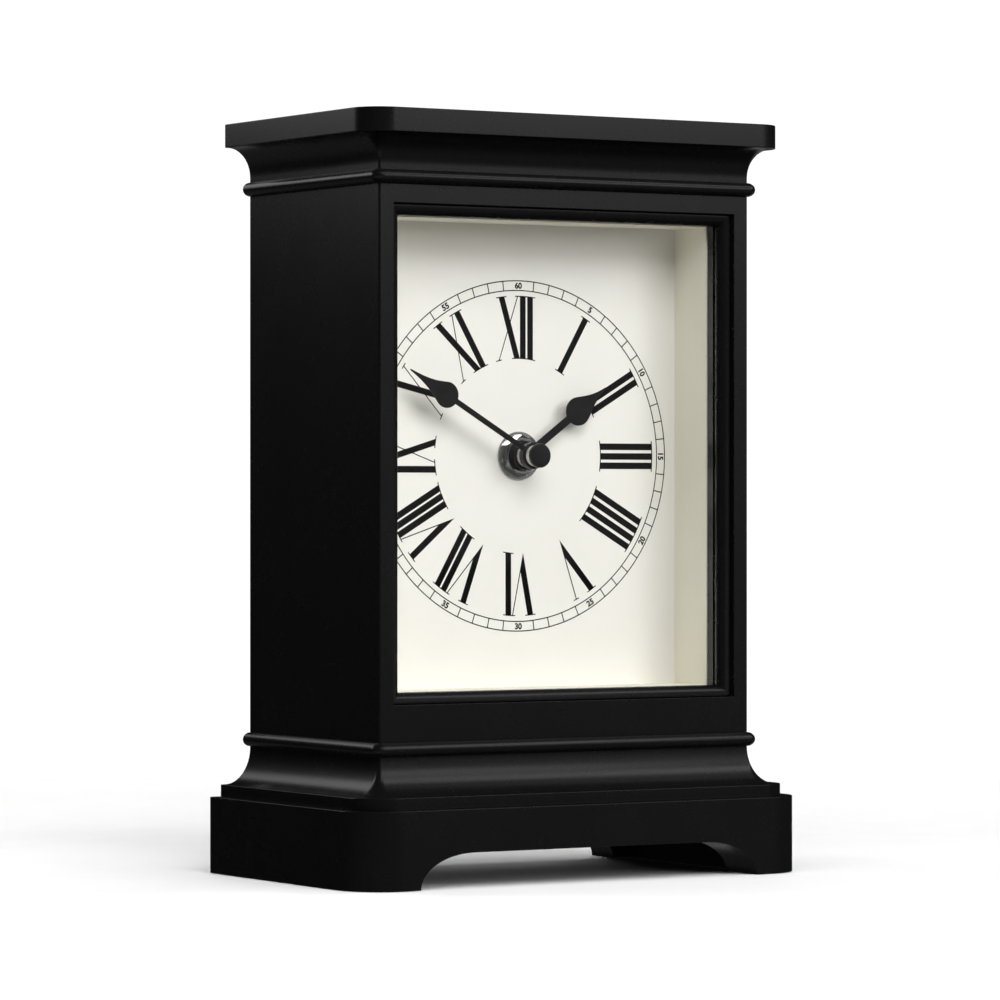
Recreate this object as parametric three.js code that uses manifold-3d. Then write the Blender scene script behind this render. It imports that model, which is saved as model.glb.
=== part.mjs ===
// Mantel clock with a square dial in a deep box, black satin case, battery movement.
// Millimetres, +Z up, front of the clock faces -Y, origin at the middle of the footprint.
import * as THREE from 'three';
import { mergeVertices } from 'three/addons/utils/BufferGeometryUtils.js';
import Module from 'manifold-3d';

const wasm = await Module();
wasm.setup();

// ---------------------------------------------------------------- driving dimensions
const TOTAL_HEIGHT = 220;
const BODY_WIDTH = 126;
const BODY_DEPTH = 76;
const BODY_FRONT = -34.65;
const BODY_BACK = BODY_FRONT + BODY_DEPTH;
const CORNER_RADIUS = 1;

const PLINTH_TOP = 22.3;
const STEP_TOP = 25.8;
const LOWER_COVE_TOP = 36.8;
const BODY_BOTTOM = 40.9;
const BODY_TOP = 199;
const UPPER_BEAD_TOP = 203.1;
const SLAB_BOTTOM = 213.1;

const PLINTH_OFFSET = 13.35;
const STEP_OFFSET = 9.8;
const SLAB_OFFSET = 8.4;
const BEAD_OFFSET = 2.45;
const LOWER_COVE_REACH = 8.4;
const UPPER_COVE_REACH = 7.4;

const ARCH_HEIGHT = 10;
const ARCH_HALF_SPAN = 57.1;
const ARCH_HALF_FLAT = 39.4;
const FRONT_RAIL_DEPTH = 16;
const BACK_RAIL_DEPTH = 12;
const SIDE_RAIL_THICKNESS = 14;

const SIDE_PANEL_THICKNESS = 6;
const FRAME_DEPTH = 10;
const REBATE_HALF_WIDTH = 58.2;
const REBATE_BOTTOM = 51.4;
const REBATE_TOP = 193.7;
const REBATE_DEPTH = 7;
const LIP_INSET = 2.8;
const GLAZING_BEAD_WIDTH = 3.5;
const GLAZING_BEAD_SETBACK = 1.75;
const GLASS_THICKNESS = 2;

const DIAL_DEPTH = 27;
const DIAL_THICKNESS = 1.5;
const DIAL_CENTRE_Z = 122.4;
const LINING_HALF_WIDTH = 55;
const LINING_BOTTOM = 54.7;
const LINING_TOP = 190.3;
const LINING_THICKNESS = 1.6;

const WASHER_RADIUS = 7.15;
const NUT_ACROSS_FLATS = 10.75;
const BUSH_RADIUS = 4;
const BUSH_BORE = 3.4;
const HOUR_PIPE_RADIUS = 3.2;
const HOUR_PIPE_BORE = 2.05;
const MINUTE_PIPE_RADIUS = 1.8;
const MINUTE_PIPE_BORE = 0.85;
const SECONDS_SHAFT_RADIUS = 0.6;
const MINUTE_HAND_ANGLE = 300.5;
const HOUR_HAND_ANGLE = 54;

const HOUSING_HALF = 28;
const HOUSING_BELOW = 30;
const HOUSING_ABOVE = 26;
const HOUSING_DEPTH = 16;
const WALL = 1.5;
const BAY_WALL_TOP = -12.4;
const CELL_RADIUS = 7.1;

const DOOR_THICKNESS = 4;
const DOOR_OPEN_GAP = 0.4;
const HINGE_X = -57;
const HINGE_HEIGHTS = [70, 170];

// Tooth counts and modules of the wheel train and the motion work.
const MODULE_ROTOR = 0.3;
const MODULE_SECONDS = 0.36;
const MODULE_THIRD = 0.36;
const MODULE_CENTRE = 0.34;
const MODULE_MINUTE = 0.52;
const MODULE_HOUR = 0.4992;

const depth = (d) => BODY_FRONT + d;
const inside = (t) => depth(DIAL_DEPTH + DIAL_THICKNESS + 0.7 + t);
const ahead = (d) => depth(DIAL_DEPTH - d);
const rad = (deg) => deg * Math.PI / 180;

// ---------------------------------------------------------------- materials
const mat = (color, roughness, metalness = 0) =>
  new THREE.MeshStandardMaterial({ color, roughness, metalness });
const BLACK = mat(0x111112, 0.42);
const CREAM = mat(0xefece0, 0.7);
const CHROME = mat(0xd8dadd, 0.12, 1);
const HAND_BLACK = mat(0x161617, 0.45, 0.3);
const PLASTIC = mat(0x18181a, 0.5);
const NYLON = mat(0xe9e6da, 0.5);
const RUBBER = mat(0x1b1b1b, 0.85);
const BRASS = mat(0xb8913f, 0.35, 0.9);
const STEEL = mat(0xb9bbbe, 0.3, 0.9);
const COPPER = mat(0xb5622f, 0.4, 0.8);
const GREEN = mat(0x1f5c37, 0.6);
const GLASS = new THREE.MeshStandardMaterial({
  color: 0xffffff, roughness: 0.03, transparent: true, opacity: 0.15,
});
const CELL = mat(0x6f7276, 0.4, 0.4);

// ---------------------------------------------------------------- solids and booleans
function toSolid(geometry) {
  const g = geometry.clone();
  g.deleteAttribute('normal');
  g.deleteAttribute('uv');
  const m = mergeVertices(g, 1e-5);
  return new wasm.Manifold(new wasm.Mesh({
    numProp: 3,
    vertProperties: new Float32Array(m.attributes.position.array),
    triVerts: new Uint32Array(m.index.array),
  }));
}

function toGeometry(solid) {
  const mesh = solid.getMesh();
  const g = new THREE.BufferGeometry();
  g.setAttribute('position', new THREE.BufferAttribute(new Float32Array(mesh.vertProperties), 3));
  g.setIndex(new THREE.BufferAttribute(new Uint32Array(mesh.triVerts), 1));
  g.computeVertexNormals();
  return g;
}

const join = (...parts) => toGeometry(parts.map(toSolid).reduce((a, b) => a.add(b)));
const cut = (base, ...tools) =>
  toGeometry(tools.map(toSolid).reduce((a, b) => a.subtract(b), toSolid(base)));

// ---------------------------------------------------------------- plain shapes
function block(x0, x1, y0, y1, z0, z1) {
  const g = new THREE.BoxGeometry(x1 - x0, y1 - y0, z1 - z0);
  g.translate((x0 + x1) / 2, (y0 + y1) / 2, (z0 + z1) / 2);
  return g;
}

// A closed outline in the XZ plane pushed along Y from y0 to y1.
function slabY(shape, y0, y1, curveSegments = 12) {
  const g = new THREE.ExtrudeGeometry(shape, {
    depth: y1 - y0, bevelEnabled: false, curveSegments,
  });
  g.rotateX(Math.PI / 2);
  g.translate(0, y1, 0);
  return g;
}

// A closed outline in the XY plane pushed along Z from z0 to z1.
function slabZ(shape, z0, z1, curveSegments = 8) {
  const g = new THREE.ExtrudeGeometry(shape, {
    depth: z1 - z0, bevelEnabled: false, curveSegments,
  });
  g.translate(0, 0, z0);
  return g;
}

function rectangle(x0, x1, y0, y1) {
  const s = new THREE.Shape();
  s.moveTo(x0, y0);
  s.lineTo(x1, y0);
  s.lineTo(x1, y1);
  s.lineTo(x0, y1);
  s.closePath();
  return s;
}

function roundHole(x, y, r) {
  const p = new THREE.Path();
  p.absarc(x, y, r, 0, Math.PI * 2, true);
  return p;
}

function disc(x, y, r, bore = 0) {
  const s = new THREE.Shape();
  s.absarc(x, y, r, 0, Math.PI * 2, false);
  if (bore > 0) {
    s.holes.push(roundHole(x, y, bore));
  }
  return s;
}

function polygon(points) {
  return new THREE.Shape(points.map(([x, y]) => new THREE.Vector2(x, y)));
}

// Round bar or ring along Y at (x, z).
function rodY(x, z, r, y0, y1, segments = 20, bore = 0) {
  return slabY(disc(x, z, r, bore), y0, y1, segments);
}

// ---------------------------------------------------------------- case tiers
// Plan outline of one tier: square back corners, round front corners.
function tierOutline(offset, cornerSteps = 8) {
  const half = BODY_WIDTH / 2 + offset;
  const front = BODY_FRONT - offset;
  const r = CORNER_RADIUS + offset;
  const pts = [[-half, BODY_BACK]];
  for (const [cx, a0] of [[-half + r, Math.PI], [half - r, Math.PI * 1.5]]) {
    for (let i = 0; i <= cornerSteps; i += 1) {
      const a = a0 + (Math.PI / 2) * (i / cornerSteps);
      pts.push([cx + r * Math.cos(a), front + r + r * Math.sin(a)]);
    }
  }
  pts.push([half, BODY_BACK]);
  return pts;
}

// Board whose edge follows a profile of [offset, z] pairs from bottom to top.
function mouldedBoard(profile) {
  const rings = profile.map(([offset]) => tierOutline(offset));
  const n = rings[0].length;
  const positions = [];
  rings.forEach((ring, k) => ring.forEach(([x, y]) => positions.push(x, y, profile[k][1])));
  const index = [];
  for (let k = 0; k < rings.length - 1; k += 1) {
    for (let i = 0; i < n; i += 1) {
      const a = k * n + i;
      const b = k * n + (i + 1) % n;
      index.push(a, b, b + n, a, b + n, a + n);
    }
  }
  const cap = (k, up) => {
    const ring = rings[k].map(([x, y]) => new THREE.Vector2(x, y));
    for (const [a, b, c] of THREE.ShapeUtils.triangulateShape(ring, [])) {
      const f = [a + k * n, b + k * n, c + k * n];
      index.push(...(up ? f : f.reverse()));
    }
  };
  cap(0, false);
  cap(rings.length - 1, true);
  const g = new THREE.BufferGeometry();
  g.setAttribute('position', new THREE.Float32BufferAttribute(positions, 3));
  g.setIndex(index);
  g.computeVertexNormals();
  return g;
}

function beadProfile(z0, z1, steps = 8) {
  const h = (z1 - z0) / 2;
  const out = [];
  for (let i = 0; i <= steps; i += 1) {
    const a = -Math.PI / 2 + Math.PI * (i / steps);
    out.push([BEAD_OFFSET * Math.cos(a), z0 + h + h * Math.sin(a)]);
  }
  return out;
}

// Hollow quarter ellipse: offset grows from 0 to reach as z goes from zThin to zWide.
function coveProfile(zThin, zWide, reach, steps = 8) {
  const out = [];
  for (let i = 0; i <= steps; i += 1) {
    const a = (Math.PI / 2) * (i / steps);
    out.push([reach * (1 - Math.cos(a)), zThin + (zWide - zThin) * Math.sin(a)]);
  }
  return out;
}

const meshes = {};
const root = new THREE.Group();
root.name = 'mantel_clock';

function add(parent, name, geometry, material) {
  const mesh = new THREE.Mesh(geometry, material);
  mesh.name = name;
  parent.add(mesh);
  meshes[name] = mesh;
  return mesh;
}

function group(parent, name) {
  const g = new THREE.Group();
  g.name = name;
  parent.add(g);
  return g;
}

// ---------------------------------------------------------------- plinth
const plinth = group(root, 'plinth');

function archShape(x0, x1) {
  const s = new THREE.Shape();
  s.moveTo(x0, 0);
  s.lineTo(-ARCH_HALF_SPAN, 0);
  const steps = 7;
  for (let i = 1; i <= steps; i += 1) {
    const a = Math.PI - (Math.PI / 2) * (i / steps);
    s.lineTo(
      -ARCH_HALF_FLAT + (ARCH_HALF_SPAN - ARCH_HALF_FLAT) * Math.cos(a),
      ARCH_HEIGHT * Math.sin(a),
    );
  }
  for (let i = 0; i <= steps; i += 1) {
    const a = (Math.PI / 2) * (1 - i / steps);
    s.lineTo(
      ARCH_HALF_FLAT + (ARCH_HALF_SPAN - ARCH_HALF_FLAT) * Math.cos(a),
      ARCH_HEIGHT * Math.sin(a),
    );
  }
  s.lineTo(x1, 0);
  s.lineTo(x1, PLINTH_TOP);
  s.lineTo(x0, PLINTH_TOP);
  s.closePath();
  return s;
}

{
  const half = BODY_WIDTH / 2 + PLINTH_OFFSET;
  const front = BODY_FRONT - PLINTH_OFFSET;
  const outline = tierOutline(PLINTH_OFFSET).map(([x, y]) => new THREE.Vector2(x, y));
  const plan = slabZ(new THREE.Shape(outline), -1, PLINTH_TOP + 1);
  const rail = slabY(archShape(-half, half), front, front + FRONT_RAIL_DEPTH);
  add(plinth, 'plinth_front_rail', toGeometry(toSolid(rail).intersect(toSolid(plan))), BLACK);
  const back = slabY(archShape(-half, half), BODY_BACK - BACK_RAIL_DEPTH, BODY_BACK);
  add(plinth, 'plinth_back_rail', back, BLACK);
  const y0 = front + FRONT_RAIL_DEPTH;
  const y1 = BODY_BACK - BACK_RAIL_DEPTH;
  add(plinth, 'plinth_left_rail',
    block(-half, -half + SIDE_RAIL_THICKNESS, y0, y1, 0, PLINTH_TOP), BLACK);
  add(plinth, 'plinth_right_rail',
    block(half - SIDE_RAIL_THICKNESS, half, y0, y1, 0, PLINTH_TOP), BLACK);
}

// ---------------------------------------------------------------- stacked boards
const boards = group(root, 'boards');
add(boards, 'step_board', mouldedBoard([
  [STEP_OFFSET - 0.3, PLINTH_TOP],
  [STEP_OFFSET, PLINTH_TOP + 0.3],
  [STEP_OFFSET, STEP_TOP - 0.4],
  [STEP_OFFSET - 0.4, STEP_TOP],
]), BLACK);
add(boards, 'lower_cove_board', mouldedBoard([
  ...coveProfile(LOWER_COVE_TOP - 0.1, STEP_TOP, LOWER_COVE_REACH).reverse(),
  [0, LOWER_COVE_TOP],
]), BLACK);
add(boards, 'lower_bead_board', mouldedBoard(beadProfile(LOWER_COVE_TOP, BODY_BOTTOM)), BLACK);
add(boards, 'upper_bead_board', mouldedBoard(beadProfile(BODY_TOP, UPPER_BEAD_TOP)), BLACK);
add(boards, 'upper_cove_board', mouldedBoard([
  [0, UPPER_BEAD_TOP],
  ...coveProfile(UPPER_BEAD_TOP + 1.4, SLAB_BOTTOM, UPPER_COVE_REACH),
]), BLACK);
add(boards, 'top_slab', mouldedBoard([
  [SLAB_OFFSET - 0.3, SLAB_BOTTOM],
  [SLAB_OFFSET, SLAB_BOTTOM + 0.3],
  [SLAB_OFFSET, TOTAL_HEIGHT - 0.4],
  [SLAB_OFFSET - 0.4, TOTAL_HEIGHT],
]), BLACK);

// ---------------------------------------------------------------- body walls and front
const body = group(root, 'body_shell');
{
  const half = BODY_WIDTH / 2;
  const y0 = depth(FRAME_DEPTH);
  add(body, 'left_side_panel',
    block(-half, -half + SIDE_PANEL_THICKNESS, y0, BODY_BACK, BODY_BOTTOM, BODY_TOP), BLACK);
  add(body, 'right_side_panel',
    block(half - SIDE_PANEL_THICKNESS, half, y0, BODY_BACK, BODY_BOTTOM, BODY_TOP), BLACK);

  const face = new THREE.Shape(tierOutline(0, 4)
    .map(([x, y]) => new THREE.Vector2(x, Math.min(y, depth(FRAME_DEPTH)))));
  const frameBlank = slabZ(face, BODY_BOTTOM, BODY_TOP);
  const rebate = block(-REBATE_HALF_WIDTH, REBATE_HALF_WIDTH,
    depth(-2), depth(REBATE_DEPTH), REBATE_BOTTOM, REBATE_TOP);
  const sight = block(-REBATE_HALF_WIDTH + LIP_INSET, REBATE_HALF_WIDTH - LIP_INSET,
    depth(-2), depth(FRAME_DEPTH + 2), REBATE_BOTTOM + LIP_INSET, REBATE_TOP - LIP_INSET);
  add(body, 'front_frame', cut(frameBlank, rebate, sight), BLACK);
}

// Mitred strip of half-round section running round the inside of the rebate.
function ringStrip(section, halfW, zLow, zHigh) {
  const n = section.length;
  const positions = [];
  const corners = [
    [1, -1], [1, 1], [-1, 1], [-1, -1],
  ];
  for (const [sx, sz] of corners) {
    for (const [inset, y] of section) {
      positions.push(sx * (halfW - inset), y, sz > 0 ? zHigh - inset : zLow + inset);
    }
  }
  const index = [];
  for (let c = 0; c < 4; c += 1) {
    const d = (c + 1) % 4;
    for (let i = 0; i < n; i += 1) {
      const j = (i + 1) % n;
      index.push(c * n + i, d * n + j, d * n + i, c * n + i, c * n + j, d * n + j);
    }
  }
  const g = new THREE.BufferGeometry();
  g.setAttribute('position', new THREE.Float32BufferAttribute(positions, 3));
  g.setIndex(index);
  g.computeVertexNormals();
  return g;
}

{
  const yBack = depth(REBATE_DEPTH - GLASS_THICKNESS);
  const yFront = depth(GLAZING_BEAD_SETBACK);
  const gap = 0.05;
  const quirk = 0.5;
  const section = [[gap, yBack], [GLAZING_BEAD_WIDTH, yBack]];
  for (let i = 0; i <= 7; i += 1) {
    const a = (Math.PI / 2) * (i / 7);
    section.push([quirk + (GLAZING_BEAD_WIDTH - quirk) * Math.cos(a),
      yBack - quirk - (yBack - quirk - yFront) * Math.sin(a)]);
  }
  section.push([gap, yFront + quirk]);
  add(body, 'glazing_bead',
    ringStrip(section, REBATE_HALF_WIDTH, REBATE_BOTTOM, REBATE_TOP), BLACK);
  add(body, 'glass_pane', block(-REBATE_HALF_WIDTH + 0.5, REBATE_HALF_WIDTH - 0.5,
    yBack, depth(REBATE_DEPTH), REBATE_BOTTOM + 0.5, REBATE_TOP - 0.5), GLASS);
}

// ---------------------------------------------------------------- dial box
const dialBox = group(root, 'dial_box');
{
  const y0 = depth(FRAME_DEPTH);
  const y1 = depth(DIAL_DEPTH);
  const w = LINING_HALF_WIDTH;
  const t = LINING_THICKNESS;
  add(dialBox, 'dial_lining_left', block(-w - t, -w, y0, y1, LINING_BOTTOM, LINING_TOP), CREAM);
  add(dialBox, 'dial_lining_right', block(w, w + t, y0, y1, LINING_BOTTOM, LINING_TOP), CREAM);
  add(dialBox, 'dial_lining_bottom',
    block(-w - t, w + t, y0, y1, LINING_BOTTOM - t, LINING_BOTTOM), CREAM);
  add(dialBox, 'dial_lining_top', block(-w - t, w + t, y0, y1, LINING_TOP, LINING_TOP + t), CREAM);
  const plate = rectangle(-w - t, w + t, LINING_BOTTOM - t, LINING_TOP + t);
  plate.holes.push(roundHole(0, DIAL_CENTRE_Z, BUSH_RADIUS + 0.2));
  add(dialBox, 'dial_plate', slabY(plate, y1, depth(DIAL_DEPTH + DIAL_THICKNESS)), CREAM);
}

// ---------------------------------------------------------------- movement, fixed parts
// Everything below is drawn round the arbor of the hands at (0, 0) and lifted to the dial centre.
const movement = group(root, 'movement');
movement.position.set(0, 0, DIAL_CENTRE_Z);

const polar = (x, z, r, deg) => [x + r * Math.cos(rad(deg)), z + r * Math.sin(rad(deg))];
const THIRD_DISTANCE = MODULE_THIRD * (8 + 60) / 2;
const REVERSE_DISTANCE = MODULE_MINUTE * (12 + 36) / 2;
const INTERMEDIATE_DISTANCE = MODULE_SECONDS * (10 + 60) / 2;
const ROTOR_DISTANCE = MODULE_ROTOR * (8 + 40) / 2;
const THIRD_ANGLE = 150;
const REVERSE_ANGLE = 30;
const INTERMEDIATE_ANGLE = 90;
const ROTOR_ANGLE = 60;
const THIRD = polar(0, 0, THIRD_DISTANCE, THIRD_ANGLE);
const REVERSE = polar(0, 0, REVERSE_DISTANCE, REVERSE_ANGLE);
const INTERMEDIATE = polar(0, 0, INTERMEDIATE_DISTANCE, INTERMEDIATE_ANGLE);
const ROTOR = polar(...INTERMEDIATE, ROTOR_DISTANCE, ROTOR_ANGLE);

{
  const outer = block(-HOUSING_HALF, HOUSING_HALF, inside(0), inside(HOUSING_DEPTH - WALL),
    -HOUSING_BELOW, HOUSING_ABOVE);
  const gearRoom = block(-HOUSING_HALF + WALL, HOUSING_HALF - WALL, inside(WALL),
    inside(HOUSING_DEPTH + 2), BAY_WALL_TOP, HOUSING_ABOVE - WALL);
  const bay = block(-HOUSING_HALF + WALL, HOUSING_HALF - WALL, inside(0.9),
    inside(HOUSING_DEPTH + 2), -HOUSING_BELOW + WALL, BAY_WALL_TOP - WALL);
  const bush = rodY(0, 0, BUSH_RADIUS, ahead(2.5), inside(0.5), 12);
  const bore = rodY(0, 0, BUSH_BORE, ahead(6), inside(WALL + 1), 12);
  let shell = toSolid(outer).subtract(toSolid(gearRoom)).subtract(toSolid(bay));
  shell = shell.add(toSolid(bush)).subtract(toSolid(bore));
  for (const [x, z] of [[-24, 6], [-24, 22], [9.5, -10.6], [-6, 22.4]]) {
    shell = shell.add(toSolid(rodY(x, z, 1.6, inside(WALL - 0.5), inside(12.6), 4)));
  }
  add(movement, 'movement_housing', toGeometry(shell), PLASTIC);

  const lid = rectangle(-HOUSING_HALF, HOUSING_HALF, BAY_WALL_TOP - WALL, HOUSING_ABOVE);
  lid.holes.push(roundHole(...REVERSE, 2));
  add(movement, 'movement_cover',
    slabY(lid, inside(HOUSING_DEPTH - WALL), inside(HOUSING_DEPTH), 6), PLASTIC);

  add(movement, 'rubber_washer',
    rodY(0, 0, 9, depth(DIAL_DEPTH + DIAL_THICKNESS), inside(0), 12, BUSH_RADIUS + 0.3), RUBBER);
  add(movement, 'dial_washer',
    rodY(0, 0, WASHER_RADIUS, ahead(0.6), ahead(0), 16, BUSH_RADIUS + 0.25), CHROME);

  const flats = [];
  for (let i = 0; i < 6; i += 1) {
    flats.push(polar(0, 0, NUT_ACROSS_FLATS / Math.sqrt(3), 30 + 60 * i));
  }
  const hex = polygon(flats);
  hex.holes.push(roundHole(0, 0, BUSH_RADIUS + 0.25));
  const chamfer = new THREE.LatheGeometry([
    new THREE.Vector2(0, -0.01),
    new THREE.Vector2(6.6, -0.01),
    new THREE.Vector2(6.6, 1.5),
    new THREE.Vector2(5.3, 2.15),
    new THREE.Vector2(0, 2.15),
  ], 24);
  chamfer.rotateX(Math.PI);
  chamfer.translate(0, ahead(0.6), 0);
  const nut = toSolid(slabY(hex, ahead(2.7), ahead(0.6), 12)).intersect(toSolid(chamfer));
  add(movement, 'hex_nut', toGeometry(nut), CHROME);

  // Train bridge on the four pillars, with a hole for each arbor.
  const bridge = rectangle(-26, 16, -11.8, 24);
  for (const [x, z, r] of [[...THIRD, 0.85], [...REVERSE, 1.25], [...INTERMEDIATE, 0.75],
    [...ROTOR, 0.65], [0, 0, 0.9]]) {
    bridge.holes.push(roundHole(x, z, r));
  }
  add(movement, 'train_bridge', slabY(bridge, inside(12.6), inside(13.2), 4), NYLON);
}

// ---------------------------------------------------------------- gears
// Outline of a toothed wheel, with one tooth pointing along phase degrees.
function gearShape(teeth, module, phase, bore, cx = 0, cz = 0) {
  const pitch = module * teeth / 2;
  const tip = pitch + 0.85 * module;
  const foot = pitch - 1.15 * module;
  const step = Math.PI * 2 / teeth;
  const pts = [];
  for (let i = 0; i < teeth; i += 1) {
    const a = rad(phase) + i * step;
    for (const [r, k] of [[foot, -0.25], [tip, -0.1], [tip, 0.1], [foot, 0.25]]) {
      pts.push([cx + r * Math.cos(a + k * step), cz + r * Math.sin(a + k * step)]);
    }
  }
  const shape = polygon(pts);
  if (bore > 0) {
    shape.holes.push(roundHole(cx, cz, bore));
  }
  return shape;
}

const halfTooth = (teeth) => 180 / teeth;

// Turning pieces: each body is a group at its own arbor.
function arborGroup(name, x, z) {
  const g = group(movement, name);
  g.position.set(x, 0, z);
  return g;
}

{
  const seconds = arborGroup('seconds_arbor', 0, 0);
  const wheel = slabY(gearShape(60, MODULE_SECONDS, INTERMEDIATE_ANGLE, 0),
    inside(6.6), inside(7.2), 4);
  const pinion = slabY(gearShape(8, MODULE_THIRD, THIRD_ANGLE, 0), inside(5.5), inside(6.7), 4);
  const shaft = rodY(0, 0, SECONDS_SHAFT_RADIUS, ahead(11), inside(13.4), 6);
  add(seconds, 'seconds_wheel', join(wheel, pinion, shaft), STEEL);
  const cap = new THREE.LatheGeometry([
    new THREE.Vector2(0, 0),
    new THREE.Vector2(3.3, 0),
    new THREE.Vector2(3.55, 0.25),
    new THREE.Vector2(3.55, 1),
    new THREE.Vector2(3.3, 1.25),
    new THREE.Vector2(0, 1.25),
  ], 28);
  cap.translate(0, ahead(12.5), 0);
  add(seconds, 'shaft_cap', cut(cap, rodY(0, 0, 0.8, ahead(11.6), ahead(10), 6)), HAND_BLACK);

  const third = arborGroup('third_arbor', ...THIRD);
  const back = THIRD_ANGLE + 180;
  add(third, 'third_wheel', join(
    slabY(gearShape(60, MODULE_THIRD, back + halfTooth(60), 0), inside(5.6), inside(6.2), 4),
    slabY(gearShape(8, MODULE_CENTRE, back, 0), inside(4.4), inside(5.7), 4),
    rodY(0, 0, 0.6, inside(2), inside(13.4), 4),
  ), NYLON);

  const centre = arborGroup('centre_arbor', 0, 0);
  add(centre, 'centre_wheel', slabY(gearShape(64, MODULE_CENTRE, THIRD_ANGLE + halfTooth(64),
    MINUTE_PIPE_RADIUS + 0.15), inside(4.5), inside(5.2), 8), NYLON);

  const inter = arborGroup('intermediate_arbor', ...INTERMEDIATE);
  add(inter, 'intermediate_wheel', join(
    slabY(gearShape(40, MODULE_ROTOR, ROTOR_ANGLE, 0), inside(7.6), inside(8.2), 4),
    slabY(gearShape(10, MODULE_SECONDS, INTERMEDIATE_ANGLE + 180 + halfTooth(10), 0),
      inside(6.5), inside(7.7), 4),
    rodY(0, 0, 0.5, inside(2), inside(13.4), 4),
  ), NYLON);

  const rotor = arborGroup('rotor_arbor', ...ROTOR);
  add(rotor, 'rotor', join(
    slabY(gearShape(8, MODULE_ROTOR, ROTOR_ANGLE + 180 + halfTooth(8), 0),
      inside(7.4), inside(9), 4),
    rodY(0, 0, 2.4, inside(8.9), inside(11.6), 8),
    rodY(0, 0, 0.4, inside(2), inside(13.4), 4),
  ), STEEL);
}

// ---------------------------------------------------------------- motor and electronics
{
  const motor = group(movement, 'motor');
  const [rx, rz] = ROTOR;
  const y0 = inside(10);
  const y1 = inside(11);
  const pieces = [
    rodY(rx, rz, 4.8, y0, y1, 8),
    block(rx, 23.5, y0, y1, rz + 1.6, rz + 4.6),
    block(20.5, 23.5, y0, y1, 14, rz + 4.6),
    slabY(polygon([
      [4.5, 14.5], [12.3, 11.2], [12.3, -11.5], [23.5, -11.5], [23.5, -8], [14.8, -8],
      [14.8, 13.2], [8, 16.4],
    ]), y0, y1),
  ];
  const rotorHole = rodY(rx, rz, 2.9, y0 - 1, y1 + 1, 8);
  add(motor, 'stator', cut(join(...pieces), rotorHole), STEEL);
  add(motor, 'coil_core', block(20.5, 23.5, y0, y1, -7.9, 13.9), STEEL);
  const coil = (r, z0, z1) => {
    const g = new THREE.CylinderGeometry(r, r, z1 - z0, 16);
    g.rotateX(Math.PI / 2);
    g.translate(22, (y0 + y1) / 2, (z0 + z1) / 2);
    return g;
  };
  const slot = block(20.3, 23.7, y0 - 0.2, y1 + 0.2, -9, 15);
  add(motor, 'coil_bobbin', cut(join(coil(2, -7.2, 13.2), coil(3.5, -7.2, -6.4),
    coil(3.5, 12.4, 13.2)), slot), PLASTIC);
  add(motor, 'coil_winding', cut(coil(3.2, -6.2, 12.2), coil(2.2, -8, 14)), COPPER);

  add(motor, 'circuit_board', block(-25.5, -13.5, inside(9.4), inside(10.4), -11.2, 2), GREEN);
  const can = new THREE.CylinderGeometry(1, 1, 6, 12);
  can.rotateZ(Math.PI / 2);
  can.translate(-19.5, inside(9.4) - 1.05, -7);
  add(motor, 'quartz_crystal', can, STEEL);
}

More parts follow.
